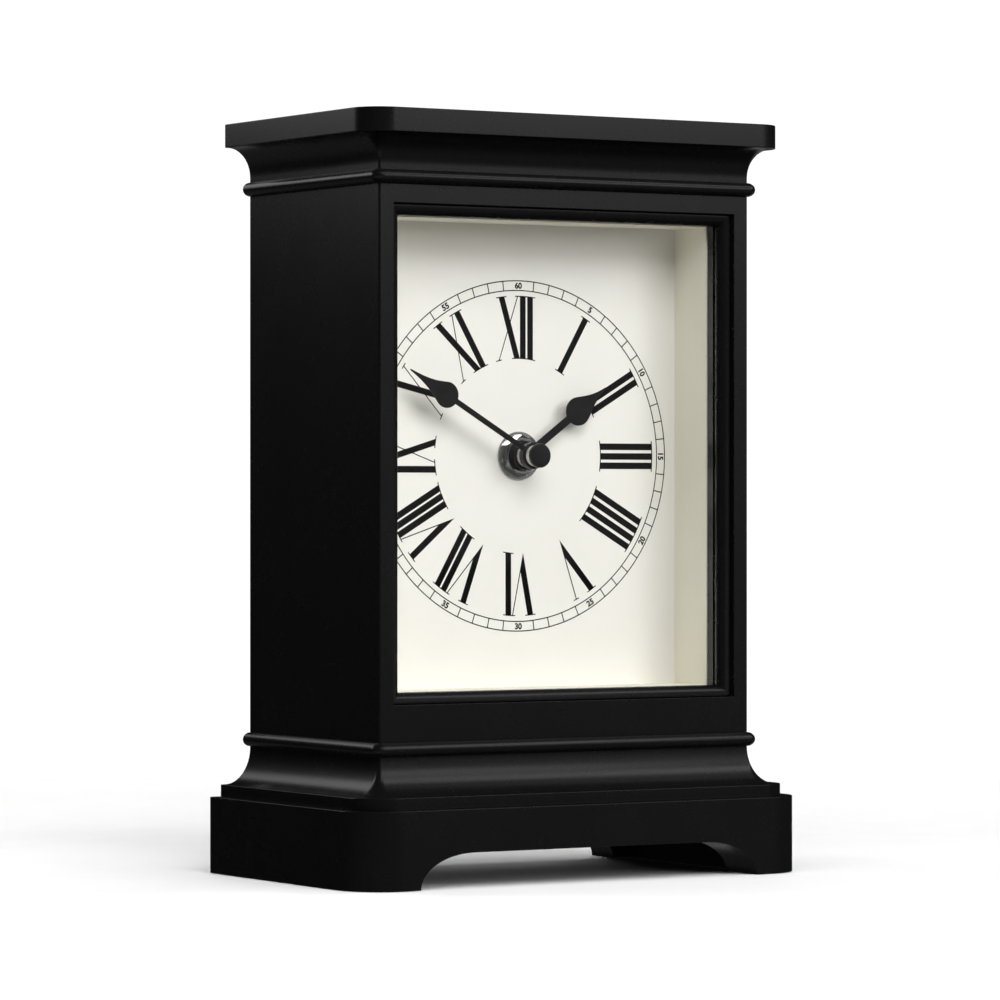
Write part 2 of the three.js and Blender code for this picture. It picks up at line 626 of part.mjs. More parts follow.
// ---------------------------------------------------------------- motion work and hands
{
  const minute = arborGroup('minute_arbor', 0, 0);
  add(minute, 'minute_pipe', cut(join(
    rodY(0, 0, MINUTE_PIPE_RADIUS, ahead(9.6), inside(5.5), 10),
    slabY(gearShape(12, MODULE_MINUTE, REVERSE_ANGLE, 0), inside(3.2), inside(4.2), 4),
  ), rodY(0, 0, MINUTE_PIPE_BORE, ahead(12), inside(8), 10)), BRASS);

  const reverse = arborGroup('reverse_arbor', ...REVERSE);
  const back = REVERSE_ANGLE + 180;
  add(reverse, 'reverse_wheel', join(
    slabY(gearShape(36, MODULE_MINUTE, back + halfTooth(36), 0), inside(3.3), inside(4.1), 4),
    slabY(gearShape(10, MODULE_HOUR, back, 0), inside(1.8), inside(3.4), 4),
    rodY(0, 0, 1, inside(1.7), inside(17.6), 6),
  ), NYLON);
  const knob = new THREE.Shape();
  const flutes = 16;
  for (let i = 0; i < flutes * 2; i += 1) {
    const [x, z] = polar(0, 0, i % 2 ? 5 : 4.6, 180 * i / flutes);
    if (i === 0) {
      knob.moveTo(x, z);
    } else {
      knob.lineTo(x, z);
    }
  }
  knob.closePath();
  add(reverse, 'setting_knob', cut(
    join(slabY(knob, inside(16.6), inside(19.6)), rodY(0, 0, 1.7, inside(16.2), inside(16.8), 8)),
    rodY(0, 0, 1.25, inside(15), inside(17.9), 6),
  ), PLASTIC);

  const hour = arborGroup('hour_arbor', 0, 0);
  add(hour, 'hour_wheel', cut(join(
    rodY(0, 0, HOUR_PIPE_RADIUS, ahead(6.2), inside(2.9), 14),
    slabY(gearShape(40, MODULE_HOUR, REVERSE_ANGLE + halfTooth(40), 0),
      inside(2), inside(2.9), 4),
  ), rodY(0, 0, HOUR_PIPE_BORE, ahead(8), inside(4), 14)), CHROME);

  // Spade hand drawn pointing up, then turned clockwise to its place.
  const spadeHand = (eye, arm, spadeAt, spadeR, length) => {
    const s = new THREE.Shape();
    const a0 = Math.asin(arm / 2 / eye);
    s.absarc(0, 0, eye, Math.PI / 2 + a0, Math.PI * 2.5 - a0, false);
    const b = Math.asin(arm / 2 / spadeR);
    s.lineTo(arm / 2, spadeAt - spadeR * Math.cos(b));
    s.absarc(0, spadeAt, spadeR, -Math.PI / 2 + b, rad(28), false);
    const [ex, ez] = polar(0, spadeAt, spadeR, 28);
    const w = 0.3;
    s.bezierCurveTo(ex - 0.9, ez + 2, w + 0.6, spadeAt + 6.5, w, length);
    s.lineTo(-w, length);
    s.bezierCurveTo(-w - 0.6, spadeAt + 6.5, -ex + 0.9, ez + 2, -ex, ez);
    s.absarc(0, spadeAt, spadeR, rad(152), Math.PI * 1.5 - b, false);
    s.lineTo(-arm / 2, eye * Math.cos(a0));
    return s;
  };
  const turned = (geometry, clockwise) => geometry.rotateY(rad(clockwise));

  const hourBlade = spadeHand(4.1, 2.35, 22.4, 4.2, 34.5);
  add(hour, 'hour_hand', cut(join(
    turned(slabY(hourBlade, ahead(4.4), ahead(4), 8), HOUR_HAND_ANGLE),
    rodY(0, 0, 4.1, ahead(4.05), ahead(2.95), 8),
  ), rodY(0, 0, HOUR_PIPE_RADIUS + 0.25, ahead(6), ahead(1), 14)), HAND_BLACK);

  const minuteBlade = spadeHand(3.9, 1.65, 34.4, 3.8, 48.7);
  add(minute, 'minute_hand', cut(join(
    turned(slabY(minuteBlade, ahead(8.9), ahead(8.5), 8), MINUTE_HAND_ANGLE),
    rodY(0, 0, 3.9, ahead(8.6), ahead(6.5), 8),
  ), rodY(0, 0, MINUTE_PIPE_RADIUS + 0.25, ahead(12), ahead(5), 10)), HAND_BLACK);
  add(minute, 'hand_nut', rodY(0, 0, 3.1, ahead(11), ahead(9), 14, MINUTE_PIPE_RADIUS + 0.25),
    CHROME);
}

// ---------------------------------------------------------------- cell and contacts
{
  const z = (BAY_WALL_TOP - WALL - HOUSING_BELOW + WALL) / 2;
  const y = inside(8.3);
  const profile = [[0, -25], [6.6, -25], [7.1, -24.5], [7.1, 23.3], [6.7, 23.9], [2.7, 23.9],
    [2.7, 25.1], [0, 25.1]];
  const cell = new THREE.LatheGeometry(
    profile.map(([r, x]) => new THREE.Vector2(r * CELL_RADIUS / 7.1, x)), 24);
  cell.rotateZ(-Math.PI / 2);
  const cellGroup = group(movement, 'cell');
  cellGroup.position.set(0, y, z);
  add(cellGroup, 'battery_cell', cell, CELL);

  const contacts = group(movement, 'contacts');
  contacts.position.set(0, y, z);
  const w = HOUSING_HALF - WALL;
  add(contacts, 'positive_contact', block(w - 0.7, w - 0.1, -5, 5, -5.5, 5.5), STEEL);
  const bump = new THREE.CylinderGeometry(2.4, 3.6, 0.9, 12);
  bump.rotateZ(-Math.PI / 2);
  bump.translate(-w + 0.75, 0, 0);
  add(contacts, 'negative_contact', join(block(-w + 0.1, -w + 0.5, -5, 5, -5.5, 5.5), bump),
    STEEL);
}

// ---------------------------------------------------------------- back door
{
  const door = group(root, 'back_door_assembly');
  const inner = BODY_WIDTH / 2 - SIDE_PANEL_THICKNESS;
  const y0 = BODY_BACK - DOOR_THICKNESS;
  add(door, 'back_door', block(-inner + DOOR_OPEN_GAP, inner - DOOR_OPEN_GAP, y0, BODY_BACK,
    BODY_BOTTOM + DOOR_OPEN_GAP, BODY_TOP - DOOR_OPEN_GAP), BLACK);
  const knob = new THREE.LatheGeometry([
    new THREE.Vector2(0, 0),
    new THREE.Vector2(2.6, 0),
    new THREE.Vector2(1.8, 1.2),
    new THREE.Vector2(1.8, 2.6),
    new THREE.Vector2(3.4, 4.2),
    new THREE.Vector2(3.4, 5.4),
    new THREE.Vector2(2.2, 6.65),
    new THREE.Vector2(0, 6.65),
  ], 16);
  const knobMesh = add(door, 'door_knob', knob, BRASS);
  knobMesh.position.set(inner - 12, BODY_BACK, DIAL_CENTRE_Z);
  add(door, 'catch_plate', block(inner - 13, inner - 5, y0 - 0.8, y0, 112, 124), STEEL);
  add(body, 'catch_magnet', block(inner - 12, inner, y0 - 7, y0 - 1.2, 110, 126), STEEL);

  // Butt hinges screwed on behind: knuckle axis stands proud of the back by its radius.
  const r = 1.4;
  const leaf = 0.8;
  const pinY = BODY_BACK + r;
  HINGE_HEIGHTS.forEach((zc, i) => {
    const label = i === 0 ? 'lower' : 'upper';
    const knuckle = (z0, z1) => slabZ(disc(HINGE_X, pinY, r), z0, z1, 8);
    const bore = slabZ(disc(HINGE_X, pinY, 0.75), zc - 12, zc + 12, 6);
    const gap = 0.15;
    const fixed = [
      block(HINGE_X - 5, HINGE_X - r - 0.2, BODY_BACK, BODY_BACK + leaf, zc - 8, zc + 8),
      knuckle(zc - 8, zc - 3 - gap),
      knuckle(zc + 3 + gap, zc + 8),
      block(HINGE_X - r - 0.5, HINGE_X, BODY_BACK, BODY_BACK + leaf, zc - 8, zc - 3 - gap),
      block(HINGE_X - r - 0.5, HINGE_X, BODY_BACK, BODY_BACK + leaf, zc + 3 + gap, zc + 8),
    ];
    add(body, `${label}_hinge_case_leaf`, cut(join(...fixed), bore), BRASS);
    const moving = [
      block(HINGE_X + r + 0.2, HINGE_X + 7, BODY_BACK, BODY_BACK + leaf, zc - 8, zc + 8),
      knuckle(zc - 3 + gap, zc + 3 - gap),
      block(HINGE_X, HINGE_X + r + 0.5, BODY_BACK, BODY_BACK + leaf, zc - 3 + gap, zc + 3 - gap),
    ];
    add(door, `${label}_hinge_door_leaf`, cut(join(...moving), bore), BRASS);
    add(body, `${label}_hinge_pin`, join(
      slabZ(disc(HINGE_X, pinY, 0.55), zc - 8.3, zc + 8.2, 6),
      slabZ(disc(HINGE_X, pinY, 1.2), zc + 8.1, zc + 8.8, 6),
      slabZ(disc(HINGE_X, pinY, 1.2), zc - 8.8, zc - 8.1, 6),
    ), STEEL);
  });
}

export default root;
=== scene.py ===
"""Looks for the mantel clock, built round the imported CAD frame. The dial side faces -Y.

Shapes are given in millimetres and turned into metres where a mesh is made. The floor, the lights and
the camera are given in metres, the unit of the frame.
"""

import math

import bmesh
import bpy
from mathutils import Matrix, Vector


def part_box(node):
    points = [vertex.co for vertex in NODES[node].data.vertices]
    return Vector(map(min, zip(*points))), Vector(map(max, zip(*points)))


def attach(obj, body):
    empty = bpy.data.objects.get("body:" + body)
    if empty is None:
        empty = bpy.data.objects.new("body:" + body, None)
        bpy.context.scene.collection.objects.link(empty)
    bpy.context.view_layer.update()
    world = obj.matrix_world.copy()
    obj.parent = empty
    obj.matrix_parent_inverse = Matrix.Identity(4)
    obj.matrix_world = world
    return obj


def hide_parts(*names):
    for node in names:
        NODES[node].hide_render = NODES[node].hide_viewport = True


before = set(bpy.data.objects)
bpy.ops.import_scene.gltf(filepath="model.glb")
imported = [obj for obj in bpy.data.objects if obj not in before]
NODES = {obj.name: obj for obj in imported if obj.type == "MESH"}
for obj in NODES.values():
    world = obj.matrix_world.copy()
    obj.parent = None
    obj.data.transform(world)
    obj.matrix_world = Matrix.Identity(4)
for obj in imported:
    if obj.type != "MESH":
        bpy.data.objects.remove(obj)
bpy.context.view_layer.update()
MM = 0.001

# ------------------------ places taken from the frame, in mm


def node_box(name):
    low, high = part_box(name)
    return [c / MM for c in low], [c / MM for c in high]


BODY_LOW, BODY_HIGH = node_box("front_frame")
SIDE_LOW, SIDE_HIGH = node_box("right_side_panel")
HALF_WIDTH = BODY_HIGH[0]
FRONT_Y = BODY_LOW[1]
BACK_Y = SIDE_HIGH[1]
FACE_Y = node_box("dial_plate")[0][1]
PANE_LOW, PANE_HIGH = node_box("glass_pane")
BEAD_LOW, BEAD_HIGH = node_box("glazing_bead")
NUT_LOW, NUT_HIGH = node_box("hex_nut")
CENTRE_Z = (NUT_LOW[2] + NUT_HIGH[2]) / 2
DOOR_LOW, DOOR_HIGH = node_box("back_door")


def level(name):
    """Heights of the bottom and top of a node."""
    low, high = node_box(name)
    return low[2], high[2]


def reach(name):
    """How far a tier stands proud of the case at its widest."""
    return node_box(name)[1][0] - HALF_WIDTH


def ahead(d):
    """Y of a point d mm in front of the dial face."""
    return FACE_Y - d


# ------------------------ node materials


def new_material(name):
    m = bpy.data.materials.new(name)
    m.use_nodes = True
    nt = m.node_tree
    shader = nt.nodes["Principled BSDF"]
    coords = nt.nodes.new("ShaderNodeTexCoord")
    return m, nt, shader, coords.outputs["Object"]


def stretched(nt, coords, scale):
    mapping = nt.nodes.new("ShaderNodeMapping")
    mapping.inputs["Scale"].default_value = scale
    nt.links.new(coords, mapping.inputs["Vector"])
    return mapping.outputs["Vector"]


def noise(nt, coords, scale, detail=3.0, rough=0.5):
    n = nt.nodes.new("ShaderNodeTexNoise")
    n.inputs["Scale"].default_value = scale
    n.inputs["Detail"].default_value = detail
    n.inputs["Roughness"].default_value = rough
    nt.links.new(coords, n.inputs["Vector"])
    return n.outputs["Fac"]


def ramp(nt, value, stops):
    """Colour that runs through stops of (position, colour) as the value grows."""
    r = nt.nodes.new("ShaderNodeValToRGB")
    while len(r.color_ramp.elements) < len(stops):
        r.color_ramp.elements.new(0.5)
    for element, (at, colour) in zip(r.color_ramp.elements, stops):
        element.position = at
        element.color = (*colour, 1)
    nt.links.new(value, r.inputs["Fac"])
    return r.outputs["Color"]


def spread(nt, value, low, high, from_low=0.3, from_high=0.7):
    """Value carried from one range to another and held at its ends."""
    r = nt.nodes.new("ShaderNodeMapRange")
    r.inputs["From Min"].default_value = from_low
    r.inputs["From Max"].default_value = from_high
    r.inputs["To Min"].default_value = low
    r.inputs["To Max"].default_value = high
    nt.links.new(value, r.inputs["Value"])
    return r.outputs["Result"]


def bump(nt, shader, height, depth_mm):
    b = nt.nodes.new("ShaderNodeBump")
    b.inputs["Distance"].default_value = depth_mm * MM
    nt.links.new(height, b.inputs["Height"])
    nt.links.new(b.outputs["Normal"], shader.inputs["Normal"])


def surface(name, dark, light, tone_scale, rough, rough_scale, bump_scale, bump_mm,
            metal=0.0, stretch=None, specular=0.5):
    """A finish with a slow drift of tone, its own gloss variation and a fine relief."""
    m, nt, shader, coords = new_material(name)
    along = stretched(nt, coords, stretch) if stretch else coords
    tone = noise(nt, coords, tone_scale, 4.0, 0.6)
    nt.links.new(ramp(nt, tone, [(0.3, dark), (0.7, light)]), shader.inputs["Base Color"])
    gloss = noise(nt, along, rough_scale, 3.0, 0.6)
    nt.links.new(spread(nt, gloss, *rough), shader.inputs["Roughness"])
    bump(nt, shader, noise(nt, along, bump_scale, 2.0, 0.5), bump_mm)
    shader.inputs["Metallic"].default_value = metal
    shader.inputs["Specular IOR Level"].default_value = specular
    return m


BLACK = surface("satin_lacquer", (0.0042, 0.0042, 0.0044), (0.0050, 0.0050, 0.0052), 28,
                (0.262, 0.282), 60, 900, 0.0003)
CREAM = surface("cream_card", (0.872, 0.860, 0.818), (0.892, 0.880, 0.842), 45,
                (0.62, 0.72), 300, 2600, 0.002, specular=0.25)
LINING = surface("cream_lining", (0.882, 0.862, 0.755), (0.902, 0.882, 0.79), 45,
                 (0.62, 0.72), 300, 2600, 0.002, specular=0.25)
INK = surface("printed_ink", (0.0035, 0.0035, 0.0035), (0.006, 0.006, 0.0065), 700,
              (0.6, 0.72), 900, 2600, 0.004, specular=0.08)
HAND_BLACK = surface("hand_enamel", (0.005, 0.005, 0.0055), (0.009, 0.009, 0.0095), 300,
                     (0.30, 0.38), 600, 2500, 0.001, specular=0.35)
CHROME = surface("bright_nickel", (0.60, 0.61, 0.63), (0.72, 0.73, 0.75), 400,
                 (0.10, 0.20), 900, 3000, 0.0006, metal=1.0)
WASHER = surface("dull_nickel", (0.40, 0.41, 0.40), (0.52, 0.53, 0.52), 400,
                 (0.18, 0.28), 900, 3000, 0.0006, metal=0.82)
SATIN = surface("satin_aluminium", (0.80, 0.80, 0.79), (0.88, 0.88, 0.87), 400,
                (0.30, 0.40), 900, 1800, 0.001, metal=0.35)
STEEL = surface("brushed_steel", (0.42, 0.43, 0.44), (0.58, 0.59, 0.60), 300,
                (0.24, 0.38), 500, 900, 0.002, metal=1.0, stretch=(1, 1, 9))
BRASS = surface("satin_brass", (0.52, 0.36, 0.13), (0.66, 0.48, 0.20), 260,
                (0.24, 0.36), 500, 1100, 0.002, metal=1.0)
PLASTIC = surface("moulded_plastic", (0.018, 0.018, 0.019), (0.027, 0.027, 0.029), 120,
                  (0.42, 0.52), 400, 2600, 0.010)
NYLON = surface("moulded_nylon", (0.70, 0.67, 0.58), (0.80, 0.77, 0.69), 200,
                (0.34, 0.44), 400, 1500, 0.003)
RUBBER = surface("dull_rubber", (0.018, 0.018, 0.018), (0.032, 0.032, 0.032), 300,
                 (0.75, 0.9), 500, 2200, 0.02, specular=0.3)


def glass_material():
    """Clear pane: what it doesn't reflect goes straight through. Its gloss varies very slightly."""
    m, nt, shader, coords = new_material("clear_glass")
    nt.nodes.remove(shader)
    out = nt.nodes["Material Output"]
    mix = nt.nodes.new("ShaderNodeMixShader")
    clear = nt.nodes.new("ShaderNodeBsdfTransparent")
    clear.inputs["Color"].default_value = (0.99, 0.99, 0.985, 1)
    gloss = nt.nodes.new("ShaderNodeBsdfGlossy")
    gloss.inputs["Color"].default_value = (1, 1, 1, 1)
    nt.links.new(spread(nt, noise(nt, coords, 900), 0.01, 0.03), gloss.inputs["Roughness"])
    facing = nt.nodes.new("ShaderNodeFresnel")
    facing.inputs["IOR"].default_value = 1.25
    nt.links.new(facing.outputs["Fac"], mix.inputs["Fac"])
    nt.links.new(clear.outputs[0], mix.inputs[1])
    nt.links.new(gloss.outputs[0], mix.inputs[2])
    nt.links.new(mix.outputs[0], out.inputs["Surface"])
    return m


def cell_material(split_x):
    """Printed sleeve of a plain dry cell: dark body with a paler band at its positive end."""
    m, nt, shader, coords = new_material("cell_sleeve")
    parts = nt.nodes.new("ShaderNodeSeparateXYZ")
    nt.links.new(coords, parts.inputs["Vector"])
    step = spread(nt, parts.outputs["X"], 0.0, 1.0, split_x * MM, (split_x + 0.15) * MM)
    blotch = noise(nt, coords, 220, 4.0)
    dark = ramp(nt, blotch, [(0.3, (0.055, 0.057, 0.062)), (0.7, (0.085, 0.087, 0.092))])
    pale = ramp(nt, blotch, [(0.3, (0.40, 0.41, 0.42)), (0.7, (0.50, 0.51, 0.52))])
    mix = nt.nodes.new("ShaderNodeMix")
    mix.data_type = "RGBA"
    nt.links.new(step, mix.inputs["Factor"])
    nt.links.new(dark, mix.inputs["A"])
    nt.links.new(pale, mix.inputs["B"])
    nt.links.new(mix.outputs["Result"], shader.inputs["Base Color"])
    nt.links.new(spread(nt, noise(nt, coords, 500), 0.28, 0.38), shader.inputs["Roughness"])
    bump(nt, shader, noise(nt, coords, 1500), 0.004)
    shader.inputs["Metallic"].default_value = 0.35
    return m


def winding_material():
    """Enamelled wire laid turn by turn along the coil, its colour darkened in the grooves between turns as
    painted shade.
    """
    m, nt, shader, coords = new_material("copper_winding")
    wave = nt.nodes.new("ShaderNodeTexWave")
    wave.bands_direction = "Z"
    wave.inputs["Scale"].default_value = 1400
    wave.inputs["Distortion"].default_value = 0.4
    nt.links.new(coords, wave.inputs["Vector"])
    # Painted shade: the colour runs from copper on each turn's crest to dark in the groove beside it,
    # following the bump.
    tone = ramp(nt, wave.outputs["Fac"], [(0.1, (0.22, 0.08, 0.03)), (0.9, (0.62, 0.29, 0.12))])
    nt.links.new(tone, shader.inputs["Base Color"])
    nt.links.new(spread(nt, noise(nt, coords, 600), 0.25, 0.4), shader.inputs["Roughness"])
    bump(nt, shader, wave.outputs["Fac"], 0.03)
    shader.inputs["Metallic"].default_value = 0.85
    return m


def board_material():
    """Green solder resist with a blocky pattern in place of real tracks."""
    m, nt, shader, coords = new_material("circuit_laminate")
    tracks = nt.nodes.new("ShaderNodeTexVoronoi")
    tracks.inputs["Scale"].default_value = 420
    tracks.distance = "MANHATTAN"
    nt.links.new(coords, tracks.inputs["Vector"])
    tone = ramp(nt, tracks.outputs["Distance"],
                [(0.25, (0.03, 0.13, 0.06)), (0.45, (0.06, 0.24, 0.11))])
    nt.links.new(tone, shader.inputs["Base Color"])
    nt.links.new(spread(nt, noise(nt, coords, 900), 0.3, 0.45), shader.inputs["Roughness"])
    bump(nt, shader, tracks.outputs["Distance"], 0.02)
    return m


GLASS = glass_material()
WINDING = winding_material()
BOARD = board_material()

# ------------------------ mesh helpers


def linked(name, data):
    """New object with that data, put into the scene."""
    obj = bpy.data.objects.new(name, data)
    bpy.context.scene.collection.objects.link(obj)
    return obj


def mesh_from(bm, name):
    """Turns a bmesh into a mesh and frees it."""
    mesh = bpy.data.meshes.new(name)
    bm.to_mesh(mesh)
    bm.free()
    return mesh


def finished(obj, material, angle):
    """One finish, and smooth shading up to that angle between faces."""
    mesh = obj.data
    mesh.materials.clear()
    mesh.materials.append(material)
    for p in mesh.polygons:
        p.use_smooth = True
    mesh.set_sharp_from_angle(angle=math.radians(angle))


def baked(obj):
    """Applies the object's modifiers to its own mesh."""
    bpy.context.view_layer.update()
    dg = bpy.context.evaluated_depsgraph_get()
    mesh = bpy.data.meshes.new_from_object(obj.evaluated_get(dg))
    obj.modifiers.clear()
    old = obj.data
    obj.data = mesh
    bpy.data.meshes.remove(old)
    return obj


SAME_POINT = 1e-7


def solid(name, verts, faces, weld=True):
    """Object from points in mm; weld joins points that coincide."""
    mesh = bpy.data.meshes.new(name)
    mesh.from_pydata([(x * MM, y * MM, z * MM) for x, y, z in verts], [], faces)
    bm = bmesh.new()
    bm.from_mesh(mesh)
    if weld:
        bmesh.ops.remove_doubles(bm, verts=bm.verts, dist=SAME_POINT)
    bmesh.ops.recalc_face_normals(bm, faces=bm.faces)
    bm.to_mesh(mesh)
    bm.free()
    return linked(name, mesh)


def cut(obj, tools):
    """Takes the tools away from the object and removes them."""
    for tool in tools:
        mod = obj.modifiers.new("cut", "BOOLEAN")
        mod.operation = "DIFFERENCE"
        mod.solver = "EXACT"
        mod.object = tool
        baked(obj)
        bpy.data.objects.remove(tool)


def merged(name, parts):
    """One object from several closed parts, each kept as its own shell."""
    bm = bmesh.new()
    for part in parts:
        bm.from_mesh(part.data)
        bpy.data.objects.remove(part)
    return linked(name, mesh_from(bm, name))


def softened(obj, width, segments=2, angle=30):
    """Rounds the edges sharper than that angle."""
    mod = obj.modifiers.new("edge", "BEVEL")
    mod.width = width * MM
    mod.segments = segments
    mod.limit_method = "ANGLE"
    mod.angle_limit = math.radians(angle)


def weighted(obj):
    """Normals that follow the larger faces. It comes after any bevel."""
    mod = obj.modifiers.new("normals", "WEIGHTED_NORMAL")
    mod.keep_sharp = True


def piece(obj, name, body, material, replaces=(), width=0.0, segments=2, angle=32):
    """Names a finished piece, gives it its finish and hangs it on its body."""
    obj.name = name
    obj.data.name = name
    if width:
        softened(obj, width, segments)
        baked(obj)
    finished(obj, material, angle)
    weighted(obj)
    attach(obj, body)
    if replaces:
        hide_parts(*replaces)


def block(x0, x1, y0, y1, z0, z1):
    v = [(x, y, z) for x in (x0, x1) for y in (y0, y1) for z in (z0, z1)]
    f = [(0, 1, 3, 2), (4, 6, 7, 5), (0, 4, 5, 1), (2, 3, 7, 6), (0, 2, 6, 4), (1, 5, 7, 3)]
    return solid("block", v, f)


def loft(rings):
    """Closed solid through a stack of rings with the same number of points."""
    n = len(rings[0])
    verts = [p for ring in rings for p in ring]
    faces = [tuple(reversed(range(n))), tuple((len(rings) - 1) * n + i for i in range(n))]
    for k in range(len(rings) - 1):
        for i in range(n):
            j = (i + 1) % n
            faces.append((k * n + i, k * n + j, (k + 1) * n + j, (k + 1) * n + i))
    return solid("loft", verts, faces)


def ring_solid(rings):
    """Closed tube of rings that runs back into its first ring."""
    n = len(rings[0])
    verts = [p for ring in rings for p in ring]
    m = len(rings)
    faces = []
    for k in range(m):
        for i in range(n):
            j, q = (i + 1) % n, (k + 1) % m
            faces.append((k * n + i, k * n + j, q * n + j, q * n + i))
    return solid("ring", verts, faces)


def circle_y(r, y, cx=0.0, cz=0.0, steps=64):
    """Ring of points about an axis along Y."""
    out = []
    for i in range(steps):
        a = math.tau * i / steps
        out.append((cx + r * math.cos(a), y, cz + r * math.sin(a)))
    return out


def turned(profile, cx=0.0, cz=0.0, steps=64, hollow=False):
    """Solid turned about an axis along Y. profile is [(radius, y), ...]; hollow closes it back on itself."""
    rings = [circle_y(r, y, cx, cz, steps) for r, y in profile]
    return ring_solid(rings) if hollow else loft(rings)


def prism_y(points, y0, y1):
    """Closed outline [(x, z), ...] pushed along Y."""
    return loft([[(x, y0, z) for x, z in points], [(x, y1, z) for x, z in points]])


# ------------------------ tiers of the case


FRONT_CORNER = 0.6
BACK_CORNER = 0.5
BACK_CORNER_STEPS = 3


def tier_outline(offset, z, steps=18):
    """Plan of the case grown by the offset on three sides; the back stays in its plane."""
    half = HALF_WIDTH + offset
    front = FRONT_Y - offset
    r = FRONT_CORNER + offset
    pts = []
    for cx, cy, rr, a0, n in (
        (-half + BACK_CORNER, BACK_Y - BACK_CORNER, BACK_CORNER, 90, BACK_CORNER_STEPS),
        (-half + r, front + r, r, 180, steps),
        (half - r, front + r, r, 270, steps),
        (half - BACK_CORNER, BACK_Y - BACK_CORNER, BACK_CORNER, 0, BACK_CORNER_STEPS),
    ):
        for i in range(n + 1):
            a = math.radians(a0 + 90 * i / n)
            pts.append((cx + rr * math.cos(a), cy + rr * math.sin(a), z))
    return pts


def fillet(offset, z, radius, top, steps=4):
    """Profile points round the rim of a tier, from below to above."""
    out = []
    for i in range(steps + 1):
        a = math.radians(90 * i / steps)
        if top:
            out.append((offset - radius * (1 - math.cos(a)), z - radius * (1 - math.sin(a))))
        else:
            out.append((offset - radius * (1 - math.sin(a)), z + radius * (1 - math.cos(a))))
    return out


def tier(profile):
    """Board or moulding from a profile of (offset, z)."""
    return loft([tier_outline(o, z) for o, z in profile])


def bead_profile(z0, z1, out, steps=20):
    h = (z1 - z0) / 2
    angles = [math.radians(-90 + 180 * i / steps) for i in range(steps + 1)]
    return [(out * math.cos(a), z0 + h + h * math.sin(a)) for a in angles]


def cove_profile(z_thin, z_wide, out, steps=24):
    angles = [math.radians(90 * i / steps) for i in range(steps + 1)]
    return [(out * (1 - math.cos(a)), z_thin + (z_wide - z_thin) * math.sin(a)) for a in angles]


def moulding(node, name, profile):
    """One tier of the case in place of its CAD node."""
    piece(tier(profile), name, "case", BLACK, [node])


SLAB_RIM = 0.25
STEP_RIM_BELOW, STEP_RIM_ABOVE = 0.15, 0.2
UPPER_COVE_FOOT = 1.4
LOWER_COVE_HEAD = 0.1


def make_tiers():
    z0, z1 = level("top_slab")
    out = reach("top_slab")
    moulding("top_slab", "top_slab_board",
             fillet(out, z0, SLAB_RIM, False) + fillet(out, z1, SLAB_RIM, True))

    z0, z1 = level("upper_cove_board")
    out = reach("upper_cove_board")
    moulding("upper_cove_board", "upper_cove_moulding",
             [(0.0, z0)] + cove_profile(z0 + UPPER_COVE_FOOT, z1, out))

    for side in ("upper", "lower"):
        node = f"{side}_bead_board"
        moulding(node, f"{side}_bead_moulding", bead_profile(*level(node), reach(node)))

    z0, z1 = level("lower_cove_board")
    out = reach("lower_cove_board")
    cove = cove_profile(z1 - LOWER_COVE_HEAD, z0, out)
    moulding("lower_cove_board", "lower_cove_moulding", list(reversed(cove)) + [(0.0, z1)])

    z0, z1 = level("step_board")
    out = reach("step_board")
    moulding("step_board", "step_moulding",
             fillet(out, z0, STEP_RIM_BELOW, False) + fillet(out, z1, STEP_RIM_ABOVE, True))


ARCH_RISE = 10.0
ARCH_HALF_SPAN = 57.1
ARCH_HALF_FLAT = 39.4
ARCH_BELOW_FLOOR = 3.0
PLINTH_RIM = 0.2
PLINTH_TOP_BOARD = 1.6
EDGE = 0.15


def arch_points(steps=16):
    """Outline of the shallow arch, with quarter-ellipse ends."""
    w = ARCH_HALF_SPAN - ARCH_HALF_FLAT
    pts = [(-ARCH_HALF_SPAN, -ARCH_BELOW_FLOOR)]
    for i in range(steps + 1):
        a = math.pi - (math.pi / 2) * i / steps
        pts.append((-ARCH_HALF_FLAT + w * math.cos(a), ARCH_RISE * math.sin(a)))
    for i in range(steps + 1):
        a = (math.pi / 2) * (1 - i / steps)
        pts.append((ARCH_HALF_FLAT + w * math.cos(a), ARCH_RISE * math.sin(a)))
    return pts + [(ARCH_HALF_SPAN, -ARCH_BELOW_FLOOR)]


def make_plinth():
    """Hollow plinth with an arch through its front and its back."""
    low, high = node_box("plinth_front_rail")
    top, half = high[2], high[0]
    out = half - HALF_WIDTH
    base = tier([(out, 0.0)] + fillet(out, top, PLINTH_RIM, True))
    left_inner = node_box("plinth_left_rail")[1][0]
    back_inner = node_box("plinth_back_rail")[0][1]
    well = block(left_inner, -left_inner, high[1], back_inner, -1, top - PLINTH_TOP_BOARD)
    arches = [prism_y(arch_points(), low[1] - 4, high[1] + 1),
              prism_y(arch_points(), back_inner - 1, BACK_Y + 4)]
    cut(base, [well] + arches)
    piece(base, "plinth_base", "case", BLACK,
          ["plinth_front_rail", "plinth_back_rail", "plinth_left_rail", "plinth_right_rail"],
          width=EDGE)


FRAME_LIP = 2.8


